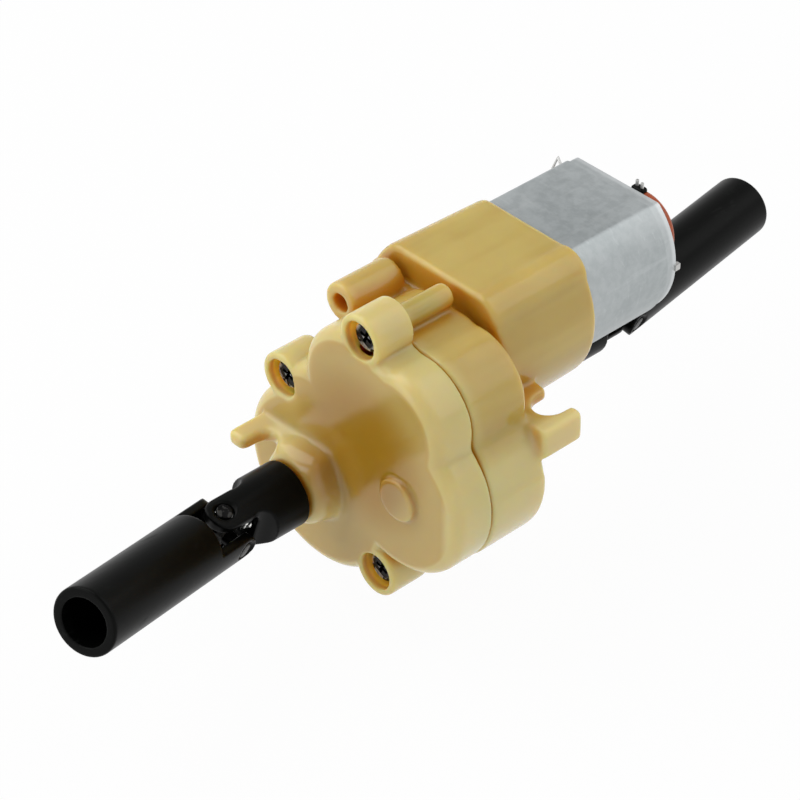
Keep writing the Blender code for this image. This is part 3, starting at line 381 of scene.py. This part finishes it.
def front_cover():
    cover = lobed(COVER_FACE, -SEAM, -COVER_PROUD, front_edge=COVER_EDGE)
    cap = rod(PIVOT_CAP_RADIUS, COVER_FACE - PIVOT_CAP_HEIGHT, COVER_FACE + 0.5, lower_idler)
    round_edges(cap, in_plane(1, COVER_FACE - PIVOT_CAP_HEIGHT), 0.2)
    combine(cover, "UNION", output_boss(), cap)
    for at in COVER_SCREWS.values():
        boss = rod(COVER_BOSS_RADIUS, COVER_BOSS_FACE, -SEAM - 0.02, at)
        round_edges(boss, in_plane(1, COVER_BOSS_FACE), 0.35)
        combine(cover, "UNION", boss)
    combine(cover, "DIFFERENCE", lobed(COVER_FACE + COVER_WALL, 2, SIDE_WALL))
    for at in COVER_SCREWS.values():
        combine(cover, "DIFFERENCE", rod(RECESS_RADIUS, -8, SCREW_SEAT, at), rod(1.1, -8, 1, at, 24))
    combine(cover, "DIFFERENCE", rod(BUSH_SEAT_RADIUS, -12, 1))
    fuse(cover, COVER_VOXEL, 6)
    soften(cover, 40, near_waist)
    soften(cover, 60, near_boss)
    return cover


def right_lug():
    lug = block(*RIGHT_LUG)
    round_edges(lug, lambda points: all(point.x > 23 for point in points), 0.5)
    slot = rod(RIGHT_SLOT_RADIUS, 0, 20, RIGHT_SLOT, axis="Z")
    left = RIGHT_SLOT[0] - RIGHT_SLOT_RADIUS
    right = RIGHT_SLOT[0] + RIGHT_SLOT_RADIUS
    mouth = block((left, RIGHT_SLOT[1], 0), (right, 20, 20))
    under = block((0, RIGHT_SLOT[1] - RIGHT_SLOT_RADIUS, 0), (right, 20, RIGHT_LUG_PLATE_LOW))
    return combine(lug, "DIFFERENCE", slot, mouth, under)


def rear_case():
    case = lobed(SEAM, CASE_REAR, rear_edge=CASE_EDGE, lobes=CASE_LOBES)
    lower = rod(LOBES[1][1] + LOWER_STEP[0], SEAM, CASE_REAR, LOBES[1][0], FINE_ROUND)
    round_edges(lower, in_plane(1, CASE_REAR), CASE_EDGE, 6)
    combine(case, "UNION", trim(lower, (0, 0, LOWER_STEP[1]), (0, 0, 1)))
    sleeve = flat_round(SLEEVE_RADIUS, SLEEVE_HALF_HEIGHT, SLEEVE_FRONT, SLEEVE_REAR, SLEEVE_AXIS,
                        SLEEVE_CORNER, SLEEVE_DRAFT)
    bulge = rod(SLEEVE_BULGE[1] + 0.2, SLEEVE_FRONT, SLEEVE_REAR, SLEEVE_BULGE[0], far_radius=SLEEVE_BULGE[1])
    cheek = flat_round(*SLEEVE_CHEEK, SLEEVE_FRONT, SLEEVE_REAR, MOTOR_AXIS, SLEEVE_CORNER, SLEEVE_DRAFT)
    for bar in (sleeve, bulge, cheek):
        round_edges(bar, in_plane(1, SLEEVE_REAR), 0.5)
        round_edges(bar, in_plane(1, SLEEVE_FRONT), SLEEVE_RIM)
    neck = flat_round(SLEEVE_RADIUS - SLEEVE_NECK[1], SLEEVE_HALF_HEIGHT - SLEEVE_NECK[1], SLEEVE_NECK[0],
                      SLEEVE_FRONT + 1, SLEEVE_AXIS, SLEEVE_CORNER)
    combine(sleeve, "UNION", bulge, cheek, neck)
    boss = rod(REAR_BOSS_RADIUS, 7, REAR_BOSS_REAR)
    post = rod(HOLLOW_POST_RADIUS, HOLLOW_POST_FRONT, CASE_REAR, HOLLOW_POST)
    round_edges(post, in_plane(1, HOLLOW_POST_FRONT), 0.3)
    combine(case, "UNION", sleeve, right_lug(), boss, post)
    for name, at in COVER_SCREWS.items():
        radius, rear = CASE_POSTS[name]
        post = rod(radius, SEAM + 0.02, rear, at)
        combine(case, "UNION", round_edges(post, in_plane(1, rear), 0.4))
    combine(case, "DIFFERENCE", lobed(-2, CASE_REAR - CASE_WALL, SIDE_WALL))
    can = flat_round(CAN_RADIUS + CAN_ROOM, CAN_HALF_HEIGHT + CAN_ROOM, SLEEVE_FLOOR, 30, MOTOR_AXIS, 0.8)
    combine(case, "DIFFERENCE", can, rod(2.75, 0, 12, MOTOR_AXIS), rod(BUSH_SEAT_RADIUS, 0, 14),
            rod(HOLLOW_POST_BORE, -2, HOLLOW_POST_FLOOR, HOLLOW_POST, 32))
    for at in COVER_SCREWS.values():
        combine(case, "DIFFERENCE", rod(1.0, -2, 5.8, at, 24))
    fuse(case, CASE_VOXEL, 6)
    soften(case, 40, near_waist)
    return case


def motor_can():
    step, slope, lip = CAN_LIP
    can = flat_round(CAN_RADIUS, CAN_HALF_HEIGHT, CAN_FRONT, CAN_REAR - lip, MOTOR_AXIS, CAN_CORNER)
    round_edges(can, in_plane(1, CAN_FRONT), 0.9)
    choose(can, "polygons", in_plane(1, CAN_REAR - lip))
    bpy.ops.mesh.inset(thickness=step * MM, depth=slope * MM)
    bpy.ops.mesh.inset(thickness=0, depth=(lip - slope - 0.2) * MM)
    bpy.ops.mesh.inset(thickness=0.2 * MM, depth=0.2 * MM)
    bpy.ops.mesh.inset(thickness=(CAN_WALL - step - 0.2) * MM, depth=0)
    bpy.ops.mesh.inset(thickness=0, depth=(CAN_FRONT + CAN_WALL - CAN_REAR) * MM)
    done()
    combine(can, "UNION", rod(2.6, 9.0, CAN_FRONT + 0.5, MOTOR_AXIS))
    combine(can, "DIFFERENCE", rod(2.0, 0, CAN_FRONT + 3, MOTOR_AXIS))
    return crisp(can)


def can_tabs():
    """Tabs crimped over the can's rear rim, one on each side."""
    width, reach = CAN_TAB
    tabs = []
    for side in (-1, 1):
        edge = MOTOR_AXIS[0] + side * CAN_RADIUS
        inner = edge - side * 0.6
        low = (min(edge, inner), CAN_REAR - 0.4, MOTOR_AXIS[1] - width / 2)
        high = (max(edge, inner), CAN_REAR + reach, MOTOR_AXIS[1] + width / 2)
        tab = block(low, high)
        tabs.append(round_edges(tab, in_plane(1, CAN_REAR + reach), 0.25, 3))
    return crisp(combine(tabs[0], "UNION", tabs[1]))


def capacitor():
    """A dipped ceramic disc with a lead to the left terminal."""
    at, radius, (front, rear) = CAPACITOR
    disc = rod(radius, front, rear, at)
    for face in (front, rear):
        round_edges(disc, in_plane(1, face), 0.7, 5)
    lead = rod(LEAD_RADIUS, MOTOR_AXIS[0] - TERMINAL_SPREAD, at[0] - radius + 1, ((front + rear) / 2, at[1] - 1.5),
               sides=16, axis="X")
    return crisp(combine(disc, "UNION", lead))


def lead_sleeve():
    """The black sleeve over the capacitor's cut leads."""
    return eased(block(*LEAD_SLEEVE), 0.35)


def lead_tips():
    middle = (LEAD_SLEEVE[0][1] + LEAD_SLEEVE[1][1]) / 2
    tips = [rod(0.22, LEAD_SLEEVE[1][2] - 1, high, (x, middle), sides=12, axis="Z") for x, high in LEAD_TIPS]
    for tip, (_, high) in zip(tips, LEAD_TIPS):
        round_edges(tip, in_plane(2, high), 0.1, 2)
    return crisp(combine(tips[0], "UNION", tips[1]))


def terminal(side):
    """A stamped terminal tab with a hole for its wire."""
    x = MOTOR_AXIS[0] + side * TERMINAL_SPREAD
    tab = block((x - 0.2, 33.5, MOTOR_AXIS[1] - 1.2), (x + 0.2, TERMINAL_REAR, MOTOR_AXIS[1] + 1.2))
    combine(tab, "DIFFERENCE", rod(0.5, x - 2, x + 2, (TERMINAL_REAR - 0.9, MOTOR_AXIS[1]), sides=24, axis="X"))
    return eased(tab, 0.08)


def terminal_tie():
    """A bare wire looped through the left terminal."""
    path = bpy.data.curves.new("tie", "CURVE")
    path.dimensions = "3D"
    path.bevel_depth = TIE_RADIUS * MM
    path.bevel_resolution = 3
    path.use_fill_caps = True
    line = path.splines.new("POLY")
    line.points.add(len(TIE_POINTS) - 1)
    for point, place_mm in zip(line.points, TIE_POINTS):
        point.co = (*(Vector(place_mm) * MM), 1)
    holder = bpy.data.objects.new("tie", path)
    bpy.context.scene.collection.objects.link(holder)
    only(holder)
    bpy.ops.object.convert(target="MESH")
    wire = bpy.context.active_object
    choose(wire, "vertices", lambda points: True)
    bpy.ops.mesh.remove_doubles(threshold=1e-6)
    done()
    return crisp(wire, 60)


def ears(depth, half_width):
    """Two ears with round ends across a joint, on +Z and -Z, as the outside of a round bar."""
    reach = TUBE_RADIUS + 1
    pair = rod(half_width, -reach, reach, axis="Z")
    combine(pair, "UNION", block((-half_width, 0, -reach), (half_width, depth + 1, reach)))
    return combine(pair, "INTERSECT", rod(TUBE_RADIUS, -3, depth + 2, sides=FINE_ROUND))


def forked(length, depth, half_width):
    """A round bar along +Y, forked at the joint's centre, with sunk pin holes in its ears."""
    bar = rod(TUBE_RADIUS, depth, length, sides=FINE_ROUND)
    round_edges(bar, in_plane(1, length), 0.25, 3)
    combine(bar, "UNION", ears(depth, half_width))
    gap = block((-6, -6, -FORK_HALF_GAP), (6, depth, FORK_HALF_GAP))
    across = lambda points: abs(points[0].x - points[1].x) > 1
    round_edges(gap, lambda points: across(points) and points[0].y > 0, FORK_CORNER)
    combine(bar, "DIFFERENCE", gap, rod(PIN_HOLE, -6, 6, axis="Z", sides=32))
    for side in (-1, 1):
        sink = rod(PIN_HOLE, TUBE_RADIUS - PIN_SINK[1], TUBE_RADIUS, far_radius=PIN_SINK[0], axis="Z", sides=32)
        if side < 0:
            place(sink, Matrix.Rotation(math.pi, 4, "X"))
        combine(bar, "DIFFERENCE", sink)
    return bar


def yoke():
    """A fork for the output shaft, with round scoops beside its ears' roots."""
    depth, half_width = YOKE_FORK
    bar = forked(YOKE_LENGTH, depth, half_width)
    for side in (-1, 1):
        at = (side * (half_width + FORK_SCOOP - 0.15), depth - 0.5)
        combine(bar, "DIFFERENCE", rod(FORK_SCOOP, -6, 6, at, axis="Z"))
    combine(bar, "DIFFERENCE", rod(1.58, YOKE_LENGTH - 3.6, YOKE_LENGTH + 1, sides=32),
            rod(1.0, 0, YOKE_LENGTH, sides=24))
    return fuse(bar, FORK_VOXEL, 5)


def tube(end):
    """A drive tube, hollow from its mouth to its floor."""
    length = TUBE_LENGTHS[end]
    bar = forked(length, *TUBE_FORK)
    combine(bar, "DIFFERENCE", rod(TUBE_BORE, TUBE_FLOOR, length + 1, sides=FINE_ROUND))
    return fuse(bar, FORK_VOXEL, 5)


def cross():
    body = block([-CROSS_HALF] * 3, [CROSS_HALF] * 3)
    round_edges(body, lambda points: True, 0.4)
    pins = [rod(PIN_RADIUS, -PIN_REACH, PIN_REACH, axis=axis, sides=32) for axis in "XZ"]
    for pin, axis in zip(pins, (0, 2)):
        for side in (-1, 1):
            round_edges(pin, in_plane(axis, side * PIN_REACH), 0.15, 3)
    return crisp(combine(body, "UNION", *pins))


def screw():
    """A cover screw about its own axis, its head's underside at the origin."""
    head = rod(SCREW_HEAD_RADIUS, -SCREW_HEAD_HEIGHT, 0)
    round_edges(head, in_plane(1, -SCREW_HEAD_HEIGHT), 0.5, 5)
    combine(head, "UNION", rod(SCREW_SHANK_RADIUS, -0.5, SCREW_LENGTH, sides=32))
    for turn in (0, 1):
        wing = block((-1.2, -SCREW_HEAD_HEIGHT - 1, -0.28), (1.2, -0.5, 0.28))
        choose(wing, "vertices", in_plane(1, -0.5))
        bpy.ops.transform.resize(value=(0.6, 1, 0.8))
        done()
        place(wing, Matrix.Rotation(math.radians(90 * turn + 20), 4, "Y"))
        combine(head, "DIFFERENCE", wing)
    return crisp(head, 35)


def basis(x, y, z, centre):
    """The turn and shift that take a piece's own axes to x, y and z about a centre."""
    return Matrix.Translation(centre) @ Matrix((x, y, z)).transposed().to_4x4()


class Signal:
    """A socket of a material; arithmetic on it adds Math nodes."""

    def __init__(self, paint, socket):
        self.paint = paint
        self.socket = socket

    def math(self, operation, *values):
        return self.paint.node("ShaderNodeMath", {"operation": operation}, dict(enumerate(values)))

    def __add__(self, other):
        return self.math("ADD", self, other)

    def __sub__(self, other):
        return self.math("SUBTRACT", self, other)

    def __rsub__(self, other):
        return self.math("SUBTRACT", other, self)

    def __mul__(self, other):
        return self.math("MULTIPLY", self, other)

    __radd__ = __add__
    __rmul__ = __mul__

    def ranged(self, low, high, to_low=0.0, to_high=1.0):
        """The signal rescaled from one range to another, and held inside it."""
        return self.paint.node("ShaderNodeMapRange", {"interpolation_type": "SMOOTHSTEP"},
                               {0: self, 1: low, 2: high, 3: to_low, 4: to_high})


class Paint:
    """A material in the making, on Object coordinates."""

    def __init__(self, name, **fixed):
        self.material = bpy.data.materials.new(name)
        self.material.use_nodes = True
        self.tree = self.material.node_tree
        self.shader = self.tree.nodes["Principled BSDF"]
        for socket, value in fixed.items():
            self.shader.inputs[socket.replace("_", " ")].default_value = value
        self.spot = self.node("ShaderNodeTexCoord", output="Object")

    def node(self, kind, settings=None, values=None, output=0):
        """Any node: its settings are set first, then its sockets get values or links."""
        made = self.tree.nodes.new(kind)
        for key, value in (settings or {}).items():
            setattr(made, key, value)
        for key, value in (values or {}).items():
            self.feed(made.inputs[key], value)
        return Signal(self, made.outputs[output])

    def feed(self, socket, value):
        if isinstance(value, Signal):
            self.tree.links.new(value.socket, socket)
        else:
            socket.default_value = value

    def along(self, axis):
        """The place on one axis, in millimetres."""
        return self.node("ShaderNodeSeparateXYZ", {}, {0: self.spot}, output=axis) * (1 / MM)

    def ring(self, at, radius):
        """One inside a round hole along Y, and zero a little way into the wall round it."""
        across = self.along("X") - at[0]
        up = self.along("Z") - at[1]
        return (across * across + up * up).ranged((radius + 0.35) ** 2, (radius + 0.1) ** 2)

    def noise(self, scale, stretch=(1, 1, 1), detail=3.0, rough=0.5):
        """Cloudy variation from 0 to 1; scale counts features in a metre."""
        spot = self.node("ShaderNodeMapping", {}, {"Vector": self.spot, "Scale": stretch})
        return self.node("ShaderNodeTexNoise", {}, {"Vector": spot, "Scale": scale, "Detail": detail,
                                                    "Roughness": rough})

    def blend(self, share, first, second):
        """A colour between two colours."""
        return self.node("ShaderNodeMix", {"data_type": "RGBA"}, {0: share, 6: first, 7: second}, output=2)

    def finish(self, colour=None, roughness=None, height=None, depth=0.01, metallic=None):
        for socket, value in (("Base Color", colour), ("Roughness", roughness), ("Metallic", metallic)):
            if value is not None:
                self.feed(self.shader.inputs[socket], value)
        if height is not None:
            bump = self.node("ShaderNodeBump", {}, {"Strength": 1.0, "Distance": depth * MM, "Height": height})
            self.feed(self.shader.inputs["Normal"], bump)
        return self.material


def tone(red, green, blue):
    """A colour from its display values, 0 to 255."""
    levels = [value / 255 for value in (red, green, blue)]
    return (*(((v + 0.055) / 1.055) ** 2.4 if v > 0.04 else v / 12.92 for v in levels), 1.0)


def nylon():
    """Ivory nylon: waxy and slightly see-through, with painted shade (deeper amber in its hollows, on the cover's
    face and at its middle) and painted glow (paler round the cover's rim, on the right lug and in the screw
    recesses).
    """
    paint = Paint("ivory_nylon", IOR=1.52, Subsurface_Weight=1.0, Subsurface_Radius=(1.0, 0.65, 0.25),
                  Subsurface_Scale=0.003)
    clouds = paint.noise(90)
    flow = paint.noise(260, (1, 0.12, 1), 2.0)
    fine = paint.noise(5200, detail=2.0)
    openness = paint.node("ShaderNodeAmbientOcclusion", {"samples": 8}, {"Distance": 8 * MM}, output="AO")
    shade = clouds.ranged(0.3, 0.7) * 0.5 + flow.ranged(0.35, 0.65) * 0.5
    colour = paint.blend(shade, tone(206, 181, 102), tone(190, 161, 82))
    across = paint.along("X") - COVER_MIDDLE[0]
    up = paint.along("Z") - COVER_MIDDLE[1]
    near_edge = (across * across + up * up).ranged(COVER_PAINTED_GLOW[0] ** 2, COVER_PAINTED_GLOW[1] ** 2)
    depth = paint.along("Y")
    on_cover = depth.ranged(2.0, -1.0)
    # painted shade: how hemmed in the surface is, from the occlusion node, sets where deeper amber goes
    hollow = openness.ranged(0.68, 0.22) * on_cover + openness.ranged(0.86, 0.4) * (1 - on_cover)
    # painted shade at the cover's middle and painted glow towards its rim
    rim_glow_middle_shade = paint.blend(near_edge, tone(166, 123, 45), tone(222, 205, 140))
    colour = paint.blend(on_cover * 0.85, colour, rim_glow_middle_shade)
    # painted shade: the cover's front face is painted darker amber
    face_shade = depth.ranged(COVER_FACE + 0.12, COVER_FACE + 0.02) * depth.ranged(COVER_FACE - 0.7, COVER_FACE - 0.1)
    colour = paint.blend(face_shade * 0.5, colour, tone(184, 138, 16))
    # painted glow: the right lug is painted paler
    colour = paint.blend(paint.along("X").ranged(20.8, 22.3), colour, tone(222, 205, 142))
    well_glow = sum(paint.ring(at, RECESS_RADIUS) for at in COVER_SCREWS.values())
    # painted shade: hollows painted deeper amber
    colour = paint.blend(hollow * 0.9, colour, tone(200, 140, 26))
    # painted glow: the walls of the screw recesses are painted bright amber
    colour = paint.blend(well_glow * depth.ranged(-4.9, -4.4) * depth.ranged(-2.2, -2.6), colour, tone(255, 208, 92))
    rough = 0.14 + clouds * 0.06 + fine * 0.03
    return paint.finish(colour, rough, fine * 0.4 + flow * 2.0, 0.006)


def zinc():
    """Dull zinc plate with faint spangle, rubbing marks and fine scratches, and painted highlights on the lip's
    step and the rear rim.
    """
    paint = Paint("zinc_plate", Metallic=0.85)
    spangle = paint.noise(900, detail=5.0, rough=0.65)
    clouds = paint.noise(120, detail=3.0)
    scratch = paint.noise(900, (1.0, 0.06, 1.0), 2.0)
    across = paint.noise(1500, (0.05, 1.0, 0.4), 1.0)
    marks = scratch.ranged(0.6, 0.68) * 0.5 + across.ranged(0.64, 0.7) * 0.4
    shade = spangle.ranged(0.35, 0.65) * 0.5 + clouds.ranged(0.35, 0.65) * 0.5
    colour = paint.blend(shade, tone(166, 172, 173), tone(186, 191, 192))
    colour = paint.blend(marks * 0.25, colour, tone(206, 210, 211))
    # painted highlights: lighter bands on the lip's step and along the rear rim
    lip = paint.along("Y").ranged(CAN_REAR - CAN_LIP[2] - 0.2, CAN_REAR - CAN_LIP[2] + 0.2)
    rim = paint.along("Y").ranged(CAN_REAR - 1.0, CAN_REAR - 0.5)
    colour = paint.blend(lip * 0.12 + rim * 0.4, colour, tone(232, 235, 236))
    rough = 0.42 + shade * 0.12 - marks * 0.08
    return paint.finish(colour, rough, spangle * 0.6 + marks, 0.01)


def black_plastic():
    """Black moulded plastic with soft drawn streaks and a few rubbed spots."""
    paint = Paint("black_plastic", Specular_IOR_Level=0.08)
    streak = paint.noise(1300, (1.0, 0.05, 1.0), 3.0)
    clouds = paint.noise(300, detail=4.0)
    rubbed = clouds.ranged(0.58, 0.7) * streak.ranged(0.5, 0.7)
    colour = paint.blend(rubbed * 0.5, tone(5, 6, 5), tone(28, 30, 29))
    rough = 0.26 + streak * 0.12 + rubbed * 0.15
    return paint.finish(colour, rough, streak, 0.008)


def blackened_steel(name, rubbed, gloss):
    """Blackened steel, rubbed bright in places along its edges by a share of rubbed; the bright bare edges are
    part wear and part painted glint.
    """
    paint = Paint(name, Specular_IOR_Level=gloss)
    edge = paint.node("ShaderNodeNewGeometry", output="Pointiness")
    grime = paint.noise(1100, detail=2.0)
    # bare: bright edges, part wear and part painted glint
    bare = edge.ranged(0.502, 0.53) * grime.ranged(0.46, 0.53) * rubbed
    colour = paint.blend(bare, tone(10, 10, 10), tone(250, 250, 246))
    return paint.finish(colour, 0.2 + grime * 0.12, grime, 0.006, bare)


def metal(name, colour, worn, rough, grain=(1, 0.08, 1)):
    """A turned or drawn metal: fine grain with slightly worn patches."""
    paint = Paint(name, Metallic=1.0)
    lines = paint.noise(2400, grain, 2.0)
    clouds = paint.noise(420)
    share = clouds.ranged(0.35, 0.7) * 0.6 + lines * 0.4
    return paint.finish(paint.blend(share, colour, worn), rough + lines * 0.15, lines, 0.006)


def plastic(name, colour, other, rough, scale=900):
    """A plain dull material with fine mottling."""
    paint = Paint(name)
    clouds = paint.noise(scale, detail=4.0)
    share = clouds.ranged(0.3, 0.7)
    return paint.finish(paint.blend(share, colour, other), rough + clouds * 0.12, clouds, 0.01)


def windings():
    """Varnished copper wire, turn beside turn."""
    paint = Paint("copper", Metallic=0.9)
    bands = paint.node("ShaderNodeTexWave", {"bands_direction": "Y"},
                       {"Vector": paint.spot, "Scale": 900, "Distortion": 1.5})
    colour = paint.blend(bands, tone(120, 52, 22), tone(196, 104, 52))
    return paint.finish(colour, 0.3 + bands * 0.15, bands, 0.04)


def studio():
    """A pale floor, a white surround and soft lamps; the camera stands where the picture was taken."""
    scene = bpy.context.scene
    scene.view_settings.view_transform = "Standard"
    world = bpy.data.worlds.new("studio")
    scene.world = world
    world.use_nodes = True
    tree = world.node_tree
    tree.nodes.clear()
    path = tree.nodes.new("ShaderNodeLightPath")
    seen = tree.nodes.new("ShaderNodeMath")
    seen.operation = "MAXIMUM"
    tree.links.new(path.outputs["Is Camera Ray"], seen.inputs[0])
    tree.links.new(path.outputs["Is Glossy Ray"], seen.inputs[1])
    also = tree.nodes.new("ShaderNodeMath")
    also.operation = "MAXIMUM"
    tree.links.new(seen.outputs[0], also.inputs[0])
    tree.links.new(path.outputs["Is Transmission Ray"], also.inputs[1])
    mix = tree.nodes.new("ShaderNodeMixShader")
    ambient = tree.nodes.new("ShaderNodeBackground")
    ambient.inputs["Strength"].default_value = AMBIENT
    white = tree.nodes.new("ShaderNodeBackground")
    white.inputs["Color"].default_value = (1, 1, 1, 1)
    ambient.inputs["Color"].default_value = (1, 1, 1, 1)
    tree.links.new(also.outputs[0], mix.inputs[0])
    tree.links.new(ambient.outputs[0], mix.inputs[1])
    tree.links.new(white.outputs[0], mix.inputs[2])
    height = tree.nodes.new("ShaderNodeSeparateXYZ")
    tree.links.new(tree.nodes.new("ShaderNodeTexCoord").outputs["Generated"], height.inputs[0])
    dim = tree.nodes.new("ShaderNodeMapRange")
    tree.links.new(height.outputs["Z"], dim.inputs["Value"])
    for socket, value in (("From Min", 0.05), ("From Max", 0.45), ("To Min", 1.0), ("To Max", CEILING)):
        dim.inputs[socket].default_value = value
    bright = tree.nodes.new("ShaderNodeMath")
    bright.operation = "MAXIMUM"
    tree.links.new(dim.outputs[0], bright.inputs[0])
    tree.links.new(path.outputs["Is Camera Ray"], bright.inputs[1])
    tree.links.new(bright.outputs[0], white.inputs["Strength"])
    out = tree.nodes.new("ShaderNodeOutputWorld")
    tree.links.new(mix.outputs[0], out.inputs[0])

    for name, at, size, power in LAMPS:
        lamp = bpy.data.lights.new(name, "AREA")
        lamp.size = size * MM
        lamp.energy = power
        holder = bpy.data.objects.new(name, lamp)
        scene.collection.objects.link(holder)
        holder.location = Vector(at) * MM
        holder.rotation_euler = (TARGET * MM - holder.location).to_track_quat("-Z", "Y").to_euler()

    bpy.ops.object.select_all(action="DESELECT")
    bpy.ops.mesh.primitive_plane_add(size=4, location=(0, 0, FLOOR * MM))
    floor = seated()
    floor.name = "floor"
    paint = Paint("floor_white", Roughness=0.9)
    speckle = paint.noise(60)
    surface = paint.finish(paint.blend(speckle, (0.86, 0.86, 0.86, 1), (0.88, 0.88, 0.88, 1)))
    tree = surface.node_tree
    glow = tree.nodes.new("ShaderNodeEmission")
    mix = tree.nodes.new("ShaderNodeMixShader")
    path = paint.node("ShaderNodeLightPath", output="Is Camera Ray")
    gloss = paint.node("ShaderNodeLightPath", output="Is Glossy Ray")
    clear = paint.node("ShaderNodeLightPath", output="Is Transmission Ray")
    paint.feed(mix.inputs[0], (path + gloss + clear) * FLOOR_WHITE)
    tree.links.new(paint.shader.outputs[0], mix.inputs[1])
    tree.links.new(glow.outputs[0], mix.inputs[2])
    tree.links.new(mix.outputs[0], tree.nodes["Material Output"].inputs["Surface"])
    floor.data.materials.append(surface)

    camera = bpy.data.cameras.new("camera")
    camera.lens = CAMERA_LENS
    camera.sensor_width = 36
    camera.clip_start = 0.01
    holder = bpy.data.objects.new("camera", camera)
    scene.collection.objects.link(holder)
    holder.location = Vector(CAMERA_PLACE) * MM
    holder.rotation_euler = [math.radians(angle) for angle in CAMERA_TURN]
    scene.camera = holder


CAMERA_PLACE = (204.4, -180.6, 219.1)
CAMERA_TURN = (52.27, 0.0, 47.35)
CAMERA_LENS = 135.2
TARGET = Vector((6, 8, 6))
AMBIENT = 0.38
CEILING = 0.5
FLOOR = -17.6
FLOOR_WHITE = 0.96
LAMPS = [
    ("key_box", (190, 230, 330), 460, 0.7),
    ("left_box", (-230, -110, 330), 400, 0.95),
    ("side_box", (380, -160, 120), 200, 0.05),
    ("front_box", (-120, -360, 140), 200, 0.24),
]
BOSS_VOXEL = 0.35
LUG_VOXEL = 0.2
COVER_VOXEL = 0.2
CASE_VOXEL = 0.28

lower_idler = [joints["lower_idler_spin"]["pos_m"][i] / MM for i in (0, 2)]

NYLON = nylon()
ZINC = zinc()
BLACK = black_plastic()
STEEL = metal("steel", tone(176, 178, 180), tone(200, 202, 204), 0.25)
DARK_STEEL = blackened_steel("blackened_steel", 1.0, 0.12)
PIN_STEEL = blackened_steel("blackened_pin_steel", 0.05, 0.08)
BRASS = metal("brass", tone(190, 150, 80), tone(214, 178, 104), 0.28)
TIN = metal("tinned_brass", tone(190, 190, 188), tone(214, 214, 212), 0.3)
LAMINATION = metal("laminated_steel", tone(120, 122, 124), tone(150, 152, 154), 0.4, (0.05, 1, 0.05))
COPPER = windings()
ACETAL = plastic("white_acetal", tone(232, 230, 222), tone(240, 239, 233), 0.35)
FERRITE = plastic("ferrite", tone(44, 44, 46), tone(58, 58, 60), 0.7, 1800)
CERAMIC = plastic("capacitor_ceramic", tone(160, 66, 24), tone(180, 82, 32), 0.35)

PAINTS = {
    "steel": STEEL, "blackened_steel": DARK_STEEL, "brass": BRASS, "tinned_brass": TIN, "copper": COPPER,
    "laminated_steel": LAMINATION, "white_acetal": ACETAL, "ferrite": FERRITE, "zinc_plate": ZINC,
    "capacitor_ceramic": CERAMIC, "black_plastic": BLACK, "ivory_nylon": NYLON,
}
for part in frame["record"]["subparts"]:
    node = nodes[part["node"]]
    node.data.materials.clear()
    node.data.materials.append(PAINTS[part["material_slot"]])

dress(front_cover(), "gearbox_cover", NYLON, "housing", "ivory_nylon", "front_cover")
dress(rear_case(), "gearbox_case", NYLON, "housing", "ivory_nylon", "rear_case")
dress(motor_can(), "can", ZINC, "housing", "zinc_plate", "motor_can")

dress(can_tabs(), "can_tabs", TIN, "housing", "zinc_plate")
dress(capacitor(), "disc_capacitor", CERAMIC, "housing", "capacitor_ceramic", "capacitor")
dress(lead_sleeve(), "lead_sleeve", BLACK, "housing", "black_plastic")
dress(lead_tips(), "lead_tips", TIN, "housing", "tinned_brass")
dress(terminal_tie(), "terminal_tie", TIN, "housing", "tinned_brass")
for side, name in ((-1, "left"), (1, "right")):
    dress(terminal(side), f"tab_{name}", TIN, "housing", "tinned_brass", f"terminal_{name}")

for name, at in COVER_SCREWS.items():
    piece = place(screw(), Matrix.Translation(Vector((at[0], SCREW_SEAT - 0.2, at[1])) * MM))
    dress(piece, f"screw_{name}", DARK_STEEL, "housing", "blackened_steel", f"cover_screw_{name}")

for end, facing in (("front", 1), ("rear", -1)):
    centre = Vector(joints[f"{end}_cross_hinge"]["pos_m"])
    pins = Vector(joints[f"{end}_cross_hinge"]["axis"])
    hinge = Vector(joints[f"{end}_tube_hinge"]["axis"])
    away = Vector(mounts[f"{end}_tube_mouth"]["axis"])
    inward = Vector((0, facing, 0))
    dress(place(yoke(), basis(inward.cross(pins), inward, pins, centre)), f"{end}_fork", BLACK, "output",
          "black_plastic", f"{end}_yoke")
    dress(place(cross(), basis(hinge, pins.cross(hinge), pins, centre)), f"{end}_spider", PIN_STEEL,
          f"{end}_cross", "steel", f"{end}_cross")
    dress(place(tube(end), basis(away.cross(hinge), away, hinge, centre)), f"{end}_drive_tube", BLACK,
          f"{end}_tube", "black_plastic", f"{end}_tube")

studio()
